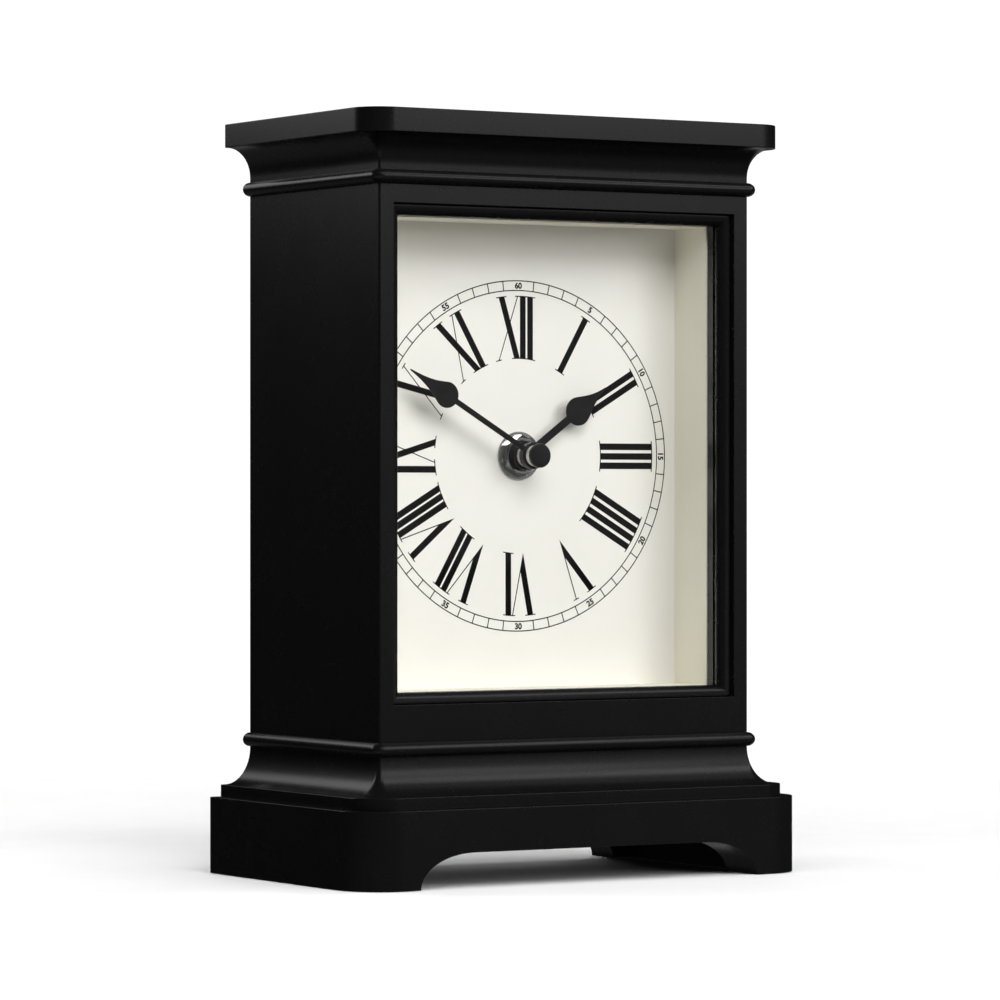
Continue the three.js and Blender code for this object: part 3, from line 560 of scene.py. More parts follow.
def make_case():
    """Case with its side panels and front frame, rebated for the bead and open at the back."""
    z0, z1 = BODY_LOW[2], BODY_HIGH[2]
    shell = loft([tier_outline(0, z0, 6), tier_outline(0, z1, 6)])
    frame_back = BODY_HIGH[1]
    inner = SIDE_LOW[0]
    rebate_back = PANE_HIGH[1]
    rx = BEAD_HIGH[0]
    tools = [
        block(-inner, inner, frame_back, BACK_Y + 5, z0 - 5, z1 + 5),
        block(-rx, rx, FRONT_Y - 5, rebate_back, BEAD_LOW[2], BEAD_HIGH[2]),
        block(-rx + FRAME_LIP, rx - FRAME_LIP, FRONT_Y - 5, frame_back + 5,
              BEAD_LOW[2] + FRAME_LIP, BEAD_HIGH[2] - FRAME_LIP),
    ]
    cut(shell, tools)
    piece(shell, "case_shell", "case", BLACK,
          ["front_frame", "left_side_panel", "right_side_panel"], width=EDGE)


def make_glazing():
    """Quarter-round bead mitred round the rebate, and the pane behind it."""
    wide, y_back, y_front = 3.5, PANE_LOW[1], BEAD_LOW[1]
    gap, quirk, steps = 0.05, 0.45, 18
    section = [(gap, y_back), (wide, y_back)]
    for i in range(steps + 1):
        a = math.pi / 2 * i / steps
        section.append((quirk + (wide - quirk) * math.cos(a),
                        y_back - quirk - (y_back - quirk - y_front) * math.sin(a)))
    section += [(quirk - 0.12, y_front + 0.06), (quirk - 0.2, y_front + 0.25), (gap, y_front + 0.5)]
    x1, z0, z1 = BEAD_HIGH[0] + gap, BEAD_LOW[2] - gap, BEAD_HIGH[2] + gap
    rings = []
    for sx, sz in ((1, -1), (1, 1), (-1, 1), (-1, -1)):
        rings.append([(sx * (x1 - i), y, z1 - i if sz > 0 else z0 + i) for i, y in section])
    piece(ring_solid(rings), "glazing_bead_moulding", "case", BLACK,
          ["glazing_bead"])
    pane = block(PANE_LOW[0], PANE_HIGH[0], PANE_LOW[1], PANE_HIGH[1], PANE_LOW[2], PANE_HIGH[2])
    piece(pane, "window_glass", "case", GLASS, ["glass_pane"], width=EDGE)


# ------------------------ dial print

INK_PROUD = 0.03
INK_SUNK = 0.01
TRACK_OUTER = 51.4
TRACK_INNER = 48.56
HAIR = 0.31
NUMERAL_OUTER = 47.0
NUMERAL_INNER = 28.5
STEM = 1.93
OVERHANG = 0.8


class Print:
    """Flat printed marks gathered into one thin mesh in front of the dial face."""

    def __init__(self):
        self.verts, self.faces = [], []

    def polygon(self, points):
        n, k = len(points), len(self.verts)
        for d in (INK_PROUD, -INK_SUNK):
            self.verts += [(x, ahead(d), CENTRE_Z + z) for x, z in points]
        self.faces.append(tuple(range(k, k + n)))
        self.faces.append(tuple(reversed(range(k + n, k + 2 * n))))
        for i in range(n):
            j = (i + 1) % n
            self.faces.append((k + j, k + i, k + n + i, k + n + j))

    def arc(self, r, width, a0, a1, steps):
        """Band of that width centred on radius r, angles clockwise from the top."""
        pts = []
        for rr, order in ((r + width / 2, 1), (r - width / 2, -1)):
            row = [a0 + (a1 - a0) * i / steps for i in range(steps + 1)]
            pts += [(rr * math.sin(a), rr * math.cos(a)) for a in row[::order]]
        self.polygon(pts)

    def make(self, name):
        obj = solid(name, self.verts, self.faces, weld=False)
        piece(obj, name, "case", INK)


def placed(angle, points):
    """Points (reading right, outward) of a mark at that clockwise angle, as dial x and z."""
    s, c = math.sin(angle), math.cos(angle)
    return [(x * c + r * s, -x * s + r * c) for x, r in points]


def on_circle(radius, x):
    return math.sqrt(radius * radius - x * x)


def stroke(marks, angle, outer, inner, width):
    """Straight stroke from outer x on the numeral's top circle to inner x on its foot circle."""
    h = width / 2
    marks.polygon(placed(angle, [
        (outer - h, on_circle(NUMERAL_OUTER, outer - h)),
        (outer + h, on_circle(NUMERAL_OUTER, outer + h)),
        (inner + h, on_circle(NUMERAL_INNER, inner + h)),
        (inner - h, on_circle(NUMERAL_INNER, inner - h)),
    ]))


def serif(marks, angle, radius, x0, x1, inward):
    """Hair-thin band along one of those circles."""
    t = HAIR * (1 if inward else -1)
    steps = 8
    row = [x0 + (x1 - x0) * i / steps for i in range(steps + 1)]
    pts = [(x, on_circle(radius, x)) for x in row]
    pts += [(x, on_circle(radius, x) - t) for x in reversed(row)]
    marks.polygon(placed(angle, pts))


# Each numeral: strokes as (outer x, inner x, thick or hair), read with its top outward.
THICK, THIN = STEM, HAIR
NUMERALS = {
    12: [(-5.87, -0.43, THICK), (-0.21, -6.69, THIN), (1.52, 1.52, THICK), (4.05, 4.05, THICK)],
    1: [(0, 0, THICK)],
    2: [(-1.45, -1.45, THICK), (1.36, 1.36, THICK)],
    3: [(-2.87, -2.87, THICK), (0, 0, THICK), (2.78, 2.78, THICK)],
    4: [(-4.26, -4.26, THICK), (-1.45, -1.45, THICK), (1.37, 1.37, THICK), (4.19, 4.19, THICK)],
    5: [(-2.46, 1.01, THICK), (3.68, 0.0, THIN)],
    6: [(-4.18, -0.64, THICK), (2.06, -1.8, THIN), (3.48, 3.48, THICK)],
    7: [(-4.96, -1.52, THICK), (1.22, -2.6, THIN), (2.7, 2.7, THICK), (5.19, 5.19, THICK)],
    8: [(-7.29, -3.86, THICK), (-1.02, -5.06, THIN), (0.35, 0.35, THICK), (2.86, 2.86, THICK),
        (5.33, 5.33, THICK)],
    9: [(-4.02, -4.02, THICK), (-1.63, 3.95, THICK), (4.6, -2.06, THIN)],
    10: [(-2.88, 2.6, THICK), (2.91, -3.3, THIN)],
    11: [(-4.92, 0.56, THICK), (0.79, -5.51, THIN), (2.57, 2.57, THICK)],
}
WITH_V = (5, 6, 7, 8)


def crossing(a, b, c, d):
    """Where the line through a and b meets the line through c and d."""
    (ax, ay), (bx, by), (cx, cy), (dx, dy) = a, b, c, d
    across = (bx - ax) * (dy - cy) - (by - ay) * (dx - cx)
    t = ((cx - ax) * (dy - cy) - (cy - ay) * (dx - cx)) / across
    return ax + t * (bx - ax), ay + t * (by - ay)


def vee(marks, angle, thick, thin):
    """A V whose thick and hair strokes run out into one sharp foot."""
    def outer(x):
        return x, on_circle(NUMERAL_OUTER, x)

    def inner(x):
        return x, on_circle(NUMERAL_INNER, x)

    h, k = thick[2] / 2, thin[2] / 2
    foot = inner(thick[1] - h)
    join = crossing(outer(thick[0] + h), inner(thick[1] + h), outer(thin[0] + k), foot)
    marks.polygon(placed(angle, [outer(thick[0] - h), outer(thick[0] + h), join, foot]))
    marks.polygon(placed(angle, [outer(thin[0] - k), outer(thin[0] + k), join,
                                 (join[0] - 2 * k, join[1])]))


def serif_spans(ends):
    """Runs of neighbouring stroke ends that share one serif."""
    spans = []
    for x, w in sorted(ends):
        low, high = x - w / 2 - OVERHANG, x + w / 2 + OVERHANG
        if spans and low <= spans[-1][1] + 0.05:
            spans[-1][1] = max(spans[-1][1], high)
        else:
            spans.append([low, high])
    return spans


def make_numerals():
    marks = Print()
    for hour, strokes in NUMERALS.items():
        angle = math.radians(30 * hour)
        straight = strokes
        if hour in WITH_V:
            vee(marks, angle, *strokes[:2])
            straight = strokes[2:]
        for outer, inner, width in straight:
            stroke(marks, angle, outer, inner, width)
        tops = [(o, w) for o, i, w in strokes]
        feet = [(i, w) for o, i, w in straight]
        for low, high in serif_spans(tops):
            serif(marks, angle, NUMERAL_OUTER, low, high, True)
        for low, high in serif_spans(feet):
            serif(marks, angle, NUMERAL_INNER, low, high, False)
    marks.make("dial_roman_numerals")


def make_track():
    marks = Print()
    for r in (TRACK_OUTER, TRACK_INNER):
        for k in range(12):
            marks.arc(r, HAIR, math.radians(30 * k), math.radians(30 * (k + 1)), 16)
    for minute in range(60):
        if minute % 5:
            h = HAIR / 2
            marks.polygon(placed(math.radians(6 * minute), [
                (-h, TRACK_INNER), (h, TRACK_INNER), (h, TRACK_OUTER), (-h, TRACK_OUTER)]))
    marks.make("dial_minute_track")


DIGIT_RADIUS = 49.98
DIGIT_HEIGHT = 1.9
DIGIT_WEIGHT = 0.04


def text_mesh(body):
    curve = bpy.data.curves.new("digits", "FONT")
    curve.body = body
    curve.size = 1.0
    curve.align_x = "CENTER"
    curve.offset = DIGIT_WEIGHT
    curve.resolution_u = 6
    obj = linked("digits", curve)
    bpy.context.view_layer.update()
    mesh = bpy.data.meshes.new_from_object(obj.evaluated_get(bpy.context.evaluated_depsgraph_get()))
    bpy.data.objects.remove(obj)
    return mesh


def make_minute_numbers():
    bm = bmesh.new()
    for minute in range(5, 65, 5):
        mesh = text_mesh(str(minute))
        ys = [v.co.y for v in mesh.vertices]
        xs = [v.co.x for v in mesh.vertices]
        scale = DIGIT_HEIGHT / (max(ys) - min(ys))
        mid_y, mid_x = (max(ys) + min(ys)) / 2, (max(xs) + min(xs)) / 2
        angle = math.radians(6 * minute)
        # The figures round the bottom are turned about, so that they read upright.
        flip = -1 if 20 <= minute <= 40 else 1
        for v in mesh.vertices:
            x = (v.co.x - mid_x) * scale * flip
            r = DIGIT_RADIUS + (v.co.y - mid_y) * scale * flip
            (px, pz), = placed(angle, [(x, r)])
            v.co = Vector((px * MM, ahead(INK_PROUD) * MM, (CENTRE_Z + pz) * MM))
        bm.from_mesh(mesh)
        bpy.data.meshes.remove(mesh)
    made = bmesh.ops.extrude_face_region(bm, geom=list(bm.faces))
    moved = [v for v in made["geom"] if isinstance(v, bmesh.types.BMVert)]
    bmesh.ops.translate(bm, verts=moved, vec=(0, (INK_PROUD + INK_SUNK) * MM, 0))
    bmesh.ops.recalc_face_normals(bm, faces=bm.faces)
    name = "dial_minute_numbers"
    piece(linked(name, mesh_from(bm, name)), name, "case", INK)


# ------------------------ hub and hands

BUSH_R = 4.0
HOUR_PIPE_R = 3.2
MINUTE_PIPE_R = 1.8
NUT_BORE = BUSH_R + 0.3
WASHER_FACE = 0.6
NUT_FACE = 2.7
NUT_STEPS = 120
CROWN_INSET = 0.12
CHAMFER_SLOPE = 0.58
BORE_CHAMFER = 0.35
THREAD_FOOT, THREAD_TOP = 0.2, 2.52
THREAD_PITCH = 0.34
THREAD_TURNS = 7
HOUR_TURN = 54.0
MINUTE_TURN = 300.5


def make_washer():
    r = node_box("dial_washer")[1][0]
    washer = [(NUT_BORE, ahead(0)), (r, ahead(0)), (r, ahead(0.48)), (r - 0.12, ahead(WASHER_FACE)),
              (NUT_BORE + 0.15, ahead(WASHER_FACE)), (NUT_BORE, ahead(0.45))]
    piece(turned(washer, 0, CENTRE_Z, 96, True), "washer_ring", "case", WASHER,
          ["dial_washer"])


def make_nut():
    """Hexagon nut with the top corners chamfered on a cone."""
    apothem = NUT_HIGH[0]
    crown = apothem - CROWN_INSET
    top, foot = ahead(NUT_FACE), ahead(WASHER_FACE)
    rows = [[], [], [], [], [], []]
    for i in range(NUT_STEPS):
        a = math.tau * i / NUT_STEPS
        turn = (a + math.pi / 6) % (math.pi / 3) - math.pi / 6
        edge = apothem / math.cos(turn)
        drop = max(0.0, edge - crown) * CHAMFER_SLOPE
        section = ((NUT_BORE, foot), (edge, foot), (edge, top + drop), (crown, top),
                   (NUT_BORE + BORE_CHAMFER, top), (NUT_BORE, top + BORE_CHAMFER))
        for row, (r, y) in zip(rows, section):
            row.append((r * math.cos(a), y, CENTRE_Z + r * math.sin(a)))
    piece(ring_solid(rows), "hexagon_nut", "case", CHROME, ["hex_nut"], angle=24)


def make_thread():
    """Threaded end of the movement's bush: fine grooves inside the nut, not a true helix."""
    thread = [(HOUR_PIPE_R + 0.25, ahead(THREAD_FOOT))]
    for i in range(THREAD_TURNS):
        y = THREAD_FOOT + i * THREAD_PITCH
        thread += [(BUSH_R - 0.22, ahead(y)), (BUSH_R + 0.02, ahead(y + THREAD_PITCH / 2))]
    thread += [(BUSH_R - 0.15, ahead(THREAD_TOP)), (HOUR_PIPE_R + 0.3, ahead(THREAD_TOP))]
    piece(turned(thread, 0, CENTRE_Z, 72, True), "bush_thread", "case", PLASTIC)


def make_pipes():
    """Sleeve of the hour pipe, nut of the minute hand and cap of the seconds shaft."""
    pipe = [(2.2, ahead(1.0)), (HOUR_PIPE_R, ahead(1.0)), (HOUR_PIPE_R, ahead(6.05)),
            (HOUR_PIPE_R - 0.15, ahead(6.2)), (2.35, ahead(6.2)), (2.2, ahead(6.05))]
    piece(turned(pipe, 0, CENTRE_Z, 72, True), "hour_pipe_sleeve", "hour_train", SATIN)
    r, bore = node_box("hand_nut")[1][0], MINUTE_PIPE_R + 0.25
    nut = [(bore, ahead(9.0)), (r - 0.15, ahead(9.0)), (r, ahead(9.15)), (r, ahead(10.8)),
           (r - 0.2, ahead(11.0)), (bore + 0.15, ahead(11.0)), (bore, ahead(10.85))]
    piece(turned(nut, 0, CENTRE_Z, 72, True), "hand_nut_ring", "minute_train", SATIN,
          ["hand_nut"])
    cap = [(0.0, ahead(11.26)), (3.3, ahead(11.26)), (3.55, ahead(11.45)), (3.55, ahead(12.1)),
           (3.48, ahead(12.32)), (3.3, ahead(12.45)), (3.0, ahead(12.5)), (0.0, ahead(12.5))]
    piece(turned(cap, 0, CENTRE_Z, 72), "hub_cap", "seconds_train", HAND_BLACK,
          ["shaft_cap"])


def bezier(p0, p1, p2, p3, steps):
    out = []
    for i in range(1, steps + 1):
        t = i / steps
        u = 1 - t
        out.append(tuple(u ** 3 * a + 3 * u * u * t * b + 3 * u * t * t * c + t ** 3 * d
                         for a, b, c, d in zip(p0, p1, p2, p3)))
    return out


EYE_STEPS, SPADE_STEPS, TIP_STEPS = 28, 24, 18
SHOULDER = 28
TIP_HALF = 0.22


def spade_outline(eye, arm, spade_at, spade_r, length):
    """Spade hand pointing up: its right half from the eye to the tip, then the mirrored left half."""
    half = arm / 2
    a0 = math.degrees(math.asin(half / eye))
    eye_arc = [math.radians(90 - a0 - (180 - a0) * i / EYE_STEPS) for i in range(EYE_STEPS + 1)]
    right = [(eye * math.cos(a), eye * math.sin(a)) for a in reversed(eye_arc)]
    b = math.degrees(math.asin(half / spade_r))
    for i in range(SPADE_STEPS + 1):
        a = math.radians(-90 + b + (90 + SHOULDER - b) * i / SPADE_STEPS)
        right.append((spade_r * math.cos(a), spade_at + spade_r * math.sin(a)))
    ex, ez = right[-1]
    right += bezier((ex, ez), (ex - 0.9, ez + 2.0), (TIP_HALF + 0.6, spade_at + 6.5),
                    (TIP_HALF, length - 0.3), TIP_STEPS)
    right.append((TIP_HALF * 0.4, length))
    left = [(-x, z) for x, z in reversed(right)]
    # The lowest point lies on the axis, so only the left half keeps it.
    return [p for p in right if p[0] > 1e-6 or p[1] > 0] + left


def spade_hand(name, body, node, shape, turn, blade, collar, bore):
    """Hand with its collar. blade is (back, front), collar (back, front, radius), all ahead of the dial."""
    a = math.radians(turn)
    pts = [(x * math.cos(a) + z * math.sin(a), CENTRE_Z - x * math.sin(a) + z * math.cos(a))
           for x, z in spade_outline(*shape)]
    back, front = blade
    hand = prism_y(pts, ahead(front), ahead(back))
    cut(hand, [turned([(bore, ahead(front + 1)), (bore, ahead(back - 1))], 0, CENTRE_Z)])
    softened(hand, 0.09, 2, 40)
    baked(hand)
    back, front, r = collar
    ring = turned([(bore, ahead(back)), (r - 0.2, ahead(back)), (r, ahead(back + 0.2)),
                   (r, ahead(front - 0.12)), (r - 0.12, ahead(front)), (bore, ahead(front))],
                  0, CENTRE_Z, 72, True)
    piece(merged(name, [hand, ring]), name, body, HAND_BLACK, [node])


def make_hands():
    spade_hand("hour_spade_hand", "hour_train", "hour_hand", (4.1, 2.35, 22.4, 4.2, 34.5),
               HOUR_TURN, (4.0, 4.4), (2.95, 4.05, 4.1), HOUR_PIPE_R + 0.05)
    spade_hand("minute_spade_hand", "minute_train", "minute_hand", (3.9, 1.65, 34.4, 3.8, 48.7),
               MINUTE_TURN, (8.5, 8.9), (6.5, 8.6, 3.9), MINUTE_PIPE_R + 0.05)


# ------------------------ back door and hinges


def circle_z(r, z, cx, cy, steps=28):
    return [(cx + r * math.cos(math.tau * i / steps), cy + r * math.sin(math.tau * i / steps), z)
            for i in range(steps)]


HINGE_X = -57.0
HINGE_HALF = 8.0
KNUCKLE_R = 1.4
OUTER_FROM, MIDDLE_TO = 3.15, 2.85
LEAF = 0.8
LEAF_EDGE = 0.12
PIN_R, PIN_HEAD_R = 0.55, 1.2


def knuckle(cx, cy, r, z0, z1, c=0.15):
    """Solid round bar along Z with both rims chamfered. It has no bore."""
    return loft([circle_z(r - c, z0, cx, cy), circle_z(r, z0 + c, cx, cy),
                 circle_z(r, z1 - c, cx, cy), circle_z(r - c, z1, cx, cy)])


def make_door():
    door = block(DOOR_LOW[0], DOOR_HIGH[0], DOOR_LOW[1], DOOR_HIGH[1], DOOR_LOW[2], DOOR_HIGH[2])
    piece(door, "rear_door_panel", "back_door", BLACK, ["back_door"],
          width=0.6, segments=3)
    low, high = node_box("door_knob")
    x, z = (low[0] + high[0]) / 2, (low[2] + high[2]) / 2
    y = low[1]
    profile = [(0, y), (2.6, y), (2.55, y + 0.35), (2.2, y + 0.75), (1.85, y + 1.3)]
    profile += [(1.75, y + 1.9), (1.8, y + 2.5), (2.2, y + 3.1), (2.8, y + 3.6), (3.25, y + 4.1)]
    profile += [(3.4, y + 4.7), (3.36, y + 5.3), (3.05, y + 5.85), (2.5, y + 6.25)]
    profile += [(1.6, y + 6.52), (0.7, y + 6.63), (0, y + 6.65)]
    piece(turned(profile, x, z, 64), "door_pull_knob", "back_door", BRASS,
          ["door_knob"], angle=60)


def make_hinges():
    """Two butt hinges. The knuckles have no bore, so each pin rod overlaps them, out of sight."""
    x, r = HINGE_X, KNUCKLE_R
    y = BACK_Y + r
    front, back = BACK_Y, BACK_Y + LEAF
    for label in ("lower", "upper"):
        low, high = node_box(f"{label}_hinge_case_leaf")
        zc = (low[2] + high[2]) / 2
        plate = block(low[0], x - r - 0.1, front, back, low[2], high[2])
        softened(plate, LEAF_EDGE)
        parts = [baked(plate)]
        for z0, z1 in ((zc - HINGE_HALF, zc - OUTER_FROM), (zc + OUTER_FROM, zc + HINGE_HALF)):
            parts.append(knuckle(x, y, r, z0, z1))
            parts.append(block(x - r - 0.5, x - 0.1, front, back, z0, z1))
        piece(merged("leaf", parts), f"{label}_hinge_fixed_leaf", "case", BRASS,
              [f"{label}_hinge_case_leaf"])

        low, high = node_box(f"{label}_hinge_door_leaf")
        z0, z1 = zc - MIDDLE_TO, zc + MIDDLE_TO
        plate = block(x + r + 0.1, high[0], front, back, low[2], high[2])
        softened(plate, LEAF_EDGE)
        parts = [baked(plate), knuckle(x, y, r, z0, z1), block(x + 0.1, x + r + 0.5, front, back, z0, z1)]
        piece(merged("leaf", parts), f"{label}_hinge_moving_leaf", "back_door", BRASS,
              [f"{label}_hinge_door_leaf"])

        parts = [knuckle(x, y, PIN_HEAD_R, zc - 8.8, zc - 8.1, 0.25),
                 knuckle(x, y, PIN_HEAD_R, zc + 8.1, zc + 8.8, 0.25),
                 knuckle(x, y, PIN_R, zc - 8.3, zc + 8.2, 0.05)]
        piece(merged("pin", parts), f"{label}_hinge_pin_rod", "case", STEEL,
              [f"{label}_hinge_pin"])


# ------------------------ cell and setting knob


CELL_STEPS = 64
CELL_BAND = 14
FLUTES = 16
KNOB_STEPS = 192


def make_cell():
    low, high = node_box("battery_cell")
    yc, zc = (low[1] + high[1]) / 2, (low[2] + high[2]) / 2
    x0, x1 = low[0], high[0]
    r = (high[2] - low[2]) / 2
    profile = [(0, x0 + 0.15), (4.2, x0 + 0.15), (4.4, x0), (r - 0.9, x0), (r - 0.35, x0 + 0.15),
               (r - 0.08, x0 + 0.5), (r, x0 + 0.95), (r, x1 - 2.4), (r - 0.1, x1 - 1.9),
               (r - 0.45, x1 - 1.45), (r - 0.9, x1 - 1.3), (4.2, x1 - 1.3), (3.9, x1 - 1.5),
               (2.9, x1 - 1.5), (2.72, x1 - 1.3), (2.7, x1 - 0.25), (2.5, x1), (0, x1)]
    rings = []
    for rr, x in profile:
        angles = [math.tau * i / CELL_STEPS for i in range(CELL_STEPS)]
        rings.append([(x, yc + rr * math.cos(a), zc + rr * math.sin(a)) for a in angles])
    piece(loft(rings), "dry_cell", "battery", cell_material(x1 - CELL_BAND),
          ["battery_cell"])


def make_knob():
    """Round setting knob with a fluted rim."""
    low, high = node_box("setting_knob")
    x, z = (low[0] + high[0]) / 2, (low[2] + high[2]) / 2
    y0, y1 = low[1] + 0.4, high[1]

    def plain(radius, y):
        return circle_y(radius, y, x, z, KNOB_STEPS)

    def fluted(radius, y):
        out = []
        for i in range(KNOB_STEPS):
            a = math.tau * i / KNOB_STEPS
            rr = radius - 0.2 - 0.2 * math.cos(a * FLUTES)
            out.append((x + rr * math.cos(a), y, z + rr * math.sin(a)))
        return out

    rings = [plain(1.7, y0 - 0.4), plain(1.7, y0), fluted(4.7, y0), fluted(5.0, y0 + 0.3),
             fluted(5.0, y1 - 0.5), fluted(4.55, y1 - 0.05), plain(3.6, y1), plain(3.2, y1 - 0.35),
             plain(0.4, y1 - 0.35)]
    piece(loft(rings), "fluted_setting_knob", "reverse_train", PLASTIC,
          ["setting_knob"])


# ------------------------ finishes on CAD nodes that stay


def finish_node(name, material, width):
    obj = NODES[name]
    finished(obj, material, 35)
    if width:
        softened(obj, width, 2, 40)
    weighted(obj)


CARRIED = {
    CREAM: ("dial_plate",),
    LINING: ("dial_lining_bottom", "dial_lining_left", "dial_lining_right", "dial_lining_top"),
    PLASTIC: ("movement_housing", "movement_cover", "coil_bobbin"),
    NYLON: ("third_wheel", "centre_wheel", "intermediate_wheel", "reverse_wheel", "train_bridge"),
    STEEL: ("seconds_wheel", "rotor", "stator", "coil_core", "quartz_crystal", "catch_plate",
            "catch_magnet", "positive_contact", "negative_contact"),
    CHROME: ("hour_wheel",),
    BRASS: ("minute_pipe",),
    RUBBER: ("rubber_washer",),
    BOARD: ("circuit_board",),
    WINDING: ("coil_winding",),
}
SOFT_EDGES = {"movement_housing": 0.2, "movement_cover": 0.25, "catch_plate": 0.12,
              "catch_magnet": 0.3, "positive_contact": 0.08}


def finish_nodes():
    for material, names in CARRIED.items():
        for name in names:
            finish_node(name, material, SOFT_EDGES.get(name, 0.0))


# ------------------------ floor, light and camera


FLOOR_RADIUS = 1.6
FLOOR_DROP = 0.0002
FLOOR_BOUNCE = 0.35
FADE_FROM, FADE_TO = 0.2, 0.62
BACKDROP = 1.05
ROOM_GLOW = 0.0117
FLOOR_GLOW = 0.45
FLOOR_GLOW_ELSEWHERE = 0.07
BACK_RIGHT = (0.82, 0.57, 0)
FRONT_LEFT = (-0.71, -0.71, 0)
DOWN = (0, 0, -1)


def mixed(nt, factor, off, on):
    """Shader that runs from off to on as the factor goes from 0 to 1."""
    m = nt.nodes.new("ShaderNodeMixShader")
    nt.links.new(factor, m.inputs["Fac"])
    nt.links.new(off, m.inputs[1])
    nt.links.new(on, m.inputs[2])
    return m.outputs[0]


def make_floor():
    bm = bmesh.new()
    bmesh.ops.create_circle(bm, cap_ends=True, radius=FLOOR_RADIUS, segments=128)
    floor = linked("studio_floor", mesh_from(bm, "studio_floor"))
    floor.location.z = -FLOOR_DROP
    m, nt, shader, coords = new_material("pale_floor")
    paper = noise(nt, coords, 40, 4.0)
    nt.links.new(ramp(nt, paper, [(0.3, (0.89, 0.89, 0.89)), (0.7, (0.91, 0.91, 0.91))]),
                 shader.inputs["Base Color"])
    shader.inputs["Roughness"].default_value = 0.6
    shader.inputs["Specular IOR Level"].default_value = 0.2
    # The floor fades out well inside its rim, where the white surroundings take over.
    length = nt.nodes.new("ShaderNodeVectorMath")
    length.operation = "LENGTH"
    nt.links.new(coords, length.inputs[0])
    fade = spread(nt, length.outputs["Value"], 0.0, 1.0, FADE_FROM, FADE_TO)
    clear = nt.nodes.new("ShaderNodeBsdfTransparent")
    # Its bounce onto the clock is weaker than its own brightness.
    dull = nt.nodes.new("ShaderNodeBsdfDiffuse")
    dull.inputs["Color"].default_value = (FLOOR_BOUNCE, FLOOR_BOUNCE, FLOOR_BOUNCE, 1)
    path = nt.nodes.new("ShaderNodeLightPath")
    seen = mixed(nt, path.outputs["Is Camera Ray"], dull.outputs[0], shader.outputs[0])
    nt.links.new(mixed(nt, fade, seen, clear.outputs[0]),
                 nt.nodes["Material Output"].inputs["Surface"])
    floor.data.materials.append(m)
    floor.visible_glossy = False
    return floor


def make_world():
    """White to the camera, nothing for diffuse light and a dim room for reflections."""
    world = bpy.data.worlds.new("studio")
    bpy.context.scene.world = world
    world.use_nodes = True
    nt = world.node_tree
    out = nt.nodes["World Output"]
    path = nt.nodes.new("ShaderNodeLightPath")

    def glow(strength):
        b = nt.nodes.new("ShaderNodeBackground")
        b.inputs["Color"].default_value = (1, 1, 1, 1)
        b.inputs["Strength"].default_value = strength
        return b.outputs[0]

    direction = nt.nodes.new("ShaderNodeTexCoord").outputs["Generated"]

    def toward(axis, start, full, weight):
        """Weight for directions near the axis, falling to nothing at the start cosine."""
        dot = nt.nodes.new("ShaderNodeVectorMath")
        dot.operation = "DOT_PRODUCT"
        dot.inputs[1].default_value = axis
        nt.links.new(direction, dot.inputs[0])
        return spread(nt, dot.outputs["Value"], 0.0, weight, start, full)

    def combined(operation, a, b):
        m = nt.nodes.new("ShaderNodeMath")
        m.operation = operation
        for socket, value in zip(m.inputs, (a, b)):
            if isinstance(value, float):
                socket.default_value = value
            else:
                nt.links.new(value, socket)
        return m.outputs[0]

    # Reflections see a dim room, with a paler floor below the horizon at two of its corners.
    # It is there so that the back can be read, and isn't taken from a real room.
    corners = combined("ADD", toward(BACK_RIGHT, 0.70, 0.90, FLOOR_GLOW),
                       toward(FRONT_LEFT, 0.35, 0.75, FLOOR_GLOW / 2))
    below = combined("MULTIPLY", toward(DOWN, 0.18, 0.36, 1.0), toward(DOWN, 0.75, 0.5, 1.0))
    below = combined("MULTIPLY", combined("ADD", corners, FLOOR_GLOW_ELSEWHERE), below)
    room = nt.nodes.new("ShaderNodeBackground")
    nt.links.new(combined("ADD", below, ROOM_GLOW), room.inputs["Strength"])
    soft = mixed(nt, path.outputs["Is Glossy Ray"], glow(0.0), room.outputs[0])
    nt.links.new(mixed(nt, path.outputs["Is Camera Ray"], soft, glow(BACKDROP)), out.inputs["Surface"])


def softbox(name, place, aim, width, height, power, lights="both"):
    """Area light; "matt" ones make no reflections and "gloss" ones are only seen as reflections."""
    light = bpy.data.lights.new(name, "AREA")
    light.shape = "RECTANGLE"
    light.size, light.size_y = width, height
    light.energy = power
    obj = linked(name, light)
    obj.location = place
    obj.rotation_euler = (Vector(aim) - Vector(place)).to_track_quat("-Z", "Y").to_euler()
    obj.visible_camera = False
    obj.visible_glossy = lights != "matt"
    obj.visible_diffuse = lights != "gloss"
    return obj


TARGET = (0, 0, 0.11)
SHELF_TARGET = (0, 0, 0.15)
SHELF_SIZE = (0.25, 0.15)


def around(azimuth, elevation, lowest=0.0, distance=1.1):
    """Point at that distance from TARGET, raised to lowest; azimuth 0 is ahead of the dial."""
    a, e = math.radians(azimuth), math.radians(elevation)
    z = TARGET[2] + distance * math.sin(e)
    return (distance * math.sin(a) * math.cos(e), -distance * math.cos(a) * math.cos(e), max(lowest, z))


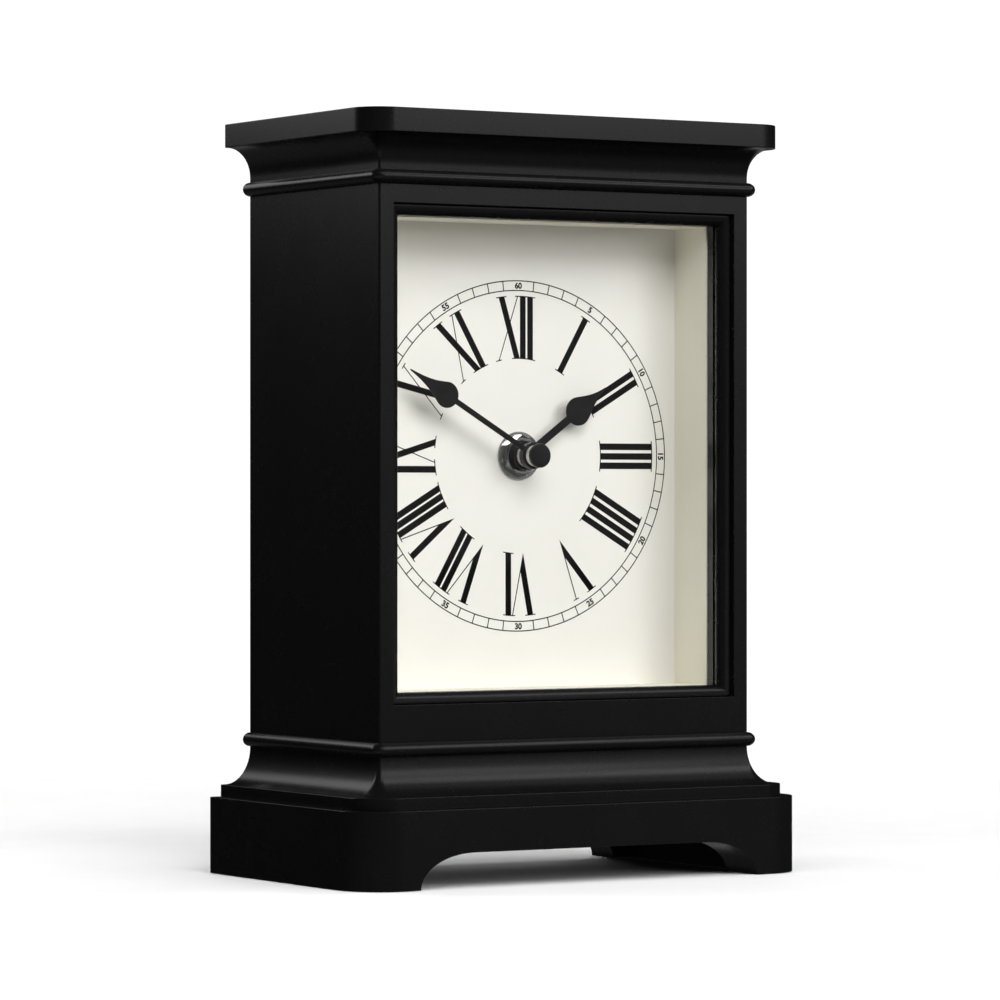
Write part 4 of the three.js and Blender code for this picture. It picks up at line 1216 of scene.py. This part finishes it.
def make_lights():
    """No matt light shares its place with a gloss one, which would hide the gloss one's reflection."""
    small, large, wide, far, broad = (0.26, 0.26), (0.42, 0.36), (0.7, 0.7), (0.75, 0.75), (1.4, 1.4)
    for name, place, size, power in (
            ("key_left", around(-20, 40), wide, 8.5),
            ("key_right", around(18, 18, distance=3), broad, 29.0),
            ("fill_right", around(31, 18, distance=3), broad, 20.0),
            ("fill_front", around(5, 44, distance=3.2), broad, 12.0),
            ("fill_right_high", around(18, 30, distance=3), broad, 2.4),
            ("fill_high", around(75, 52, distance=1.2), large, 3.8),
            ("fill_behind", around(165, 8, 0.28), large, 3.2),
            ("fill_behind_right", around(135, 8, 0.28), large, 2.4)):
        softbox(name, place, TARGET, *size, power, lights="matt")
    softbox("fill_above", (-0.27, 0.32, 0.34), SHELF_TARGET, *SHELF_SIZE, 1.0, lights="matt")
    for name, place, size, power in (
            ("gloss_front", around(5, 44, distance=3), far, 3.6),
            ("gloss_front_mid", around(5, 30, distance=3), far, 1.3),
            ("gloss_right", around(46, 44, distance=3), far, 3.21),
            ("gloss_right_low", around(46, 6, distance=3), far, 0.42),
            ("gloss_front_low", around(31, 6, distance=3), far, 0.4),
            ("gloss_behind", around(-165, 30), large, 0.46),
            ("gloss_far_right", around(75, 52), large, 0.107),
            ("gloss_side", around(60, 28), small, 0.6),
            ("gloss_side_low", around(40, 16), small, 0.128)):
        softbox(name, place, TARGET, *size, power, lights="gloss")
    for name, place, power in (("gloss_shelf", (0.25, -0.5, 0.35), 0.17),
                               ("gloss_rear_left", (-0.45, 0.45, 0.3), 0.03),
                               ("gloss_rear", (-0.25, 0.3, 0.32), 0.07),
                               ("gloss_rear_upper", (-0.45, 0.45, 0.4), 0.22)):
        softbox(name, place, SHELF_TARGET, *SHELF_SIZE, power, lights="gloss")


def make_hub_lights():
    """Reflections that only show in the bright metal of the hub."""
    only = bpy.data.collections.new("hub_only")
    for name in ("hexagon_nut", "washer_ring", "hour_pipe_sleeve", "hand_nut_ring"):
        only.objects.link(bpy.data.objects[name])
    for name, place, size, power in (
            ("hub_key", around(15, 30), 0.42, 4.5),
            ("hub_far_high", around(5, 44, distance=3.1), 0.75, 27.0),
            ("hub_far_low", around(5, 18, distance=3), 0.75, 6.0)):
        obj = softbox(name, place, TARGET, size, size, power, lights="gloss")
        obj.light_linking.receiver_collection = only


def make_floor_lights(floor):
    """Lights that only fall on the floor, to keep it pale round the clock."""
    only = bpy.data.collections.new("floor_only")
    only.objects.link(floor)
    for name, place, power in (("floor_left", (-1.1, -0.4, 1.1), 6.0),
                               ("floor_front", (-0.7, -1.2, 1.0), 1.3),
                               ("floor_right", (1.1, 0.2, 1.1), 1.9)):
        obj = softbox(name, place, (0, 0, 0), 0.9, 0.9, power)
        obj.light_linking.receiver_collection = only


LENS, SENSOR = 177.405, 36.0
SHIFT_X, SHIFT_Y = 0.001415, -0.003325
CAMERA_PLACE = (-0.76266, -1.23637, 0.110448)
CAMERA_TURN = -31.598


def make_camera():
    data = bpy.data.cameras.new("view")
    data.lens = LENS
    data.sensor_width = SENSOR
    data.shift_x = SHIFT_X
    data.shift_y = SHIFT_Y
    data.clip_start, data.clip_end = 0.05, 50
    cam = linked("view", data)
    cam.location = CAMERA_PLACE
    cam.rotation_euler = (math.radians(90), 0, math.radians(CAMERA_TURN))
    bpy.context.scene.camera = cam


make_camera()
make_tiers()
make_plinth()
make_case()
make_glazing()
make_track()
make_minute_numbers()
make_numerals()
make_washer()
make_nut()
make_thread()
make_pipes()
make_hands()
make_door()
make_hinges()
make_cell()
make_knob()
finish_nodes()
make_floor_lights(make_floor())
make_world()
make_lights()
make_hub_lights()
bpy.context.scene.view_settings.view_transform = "Standard"
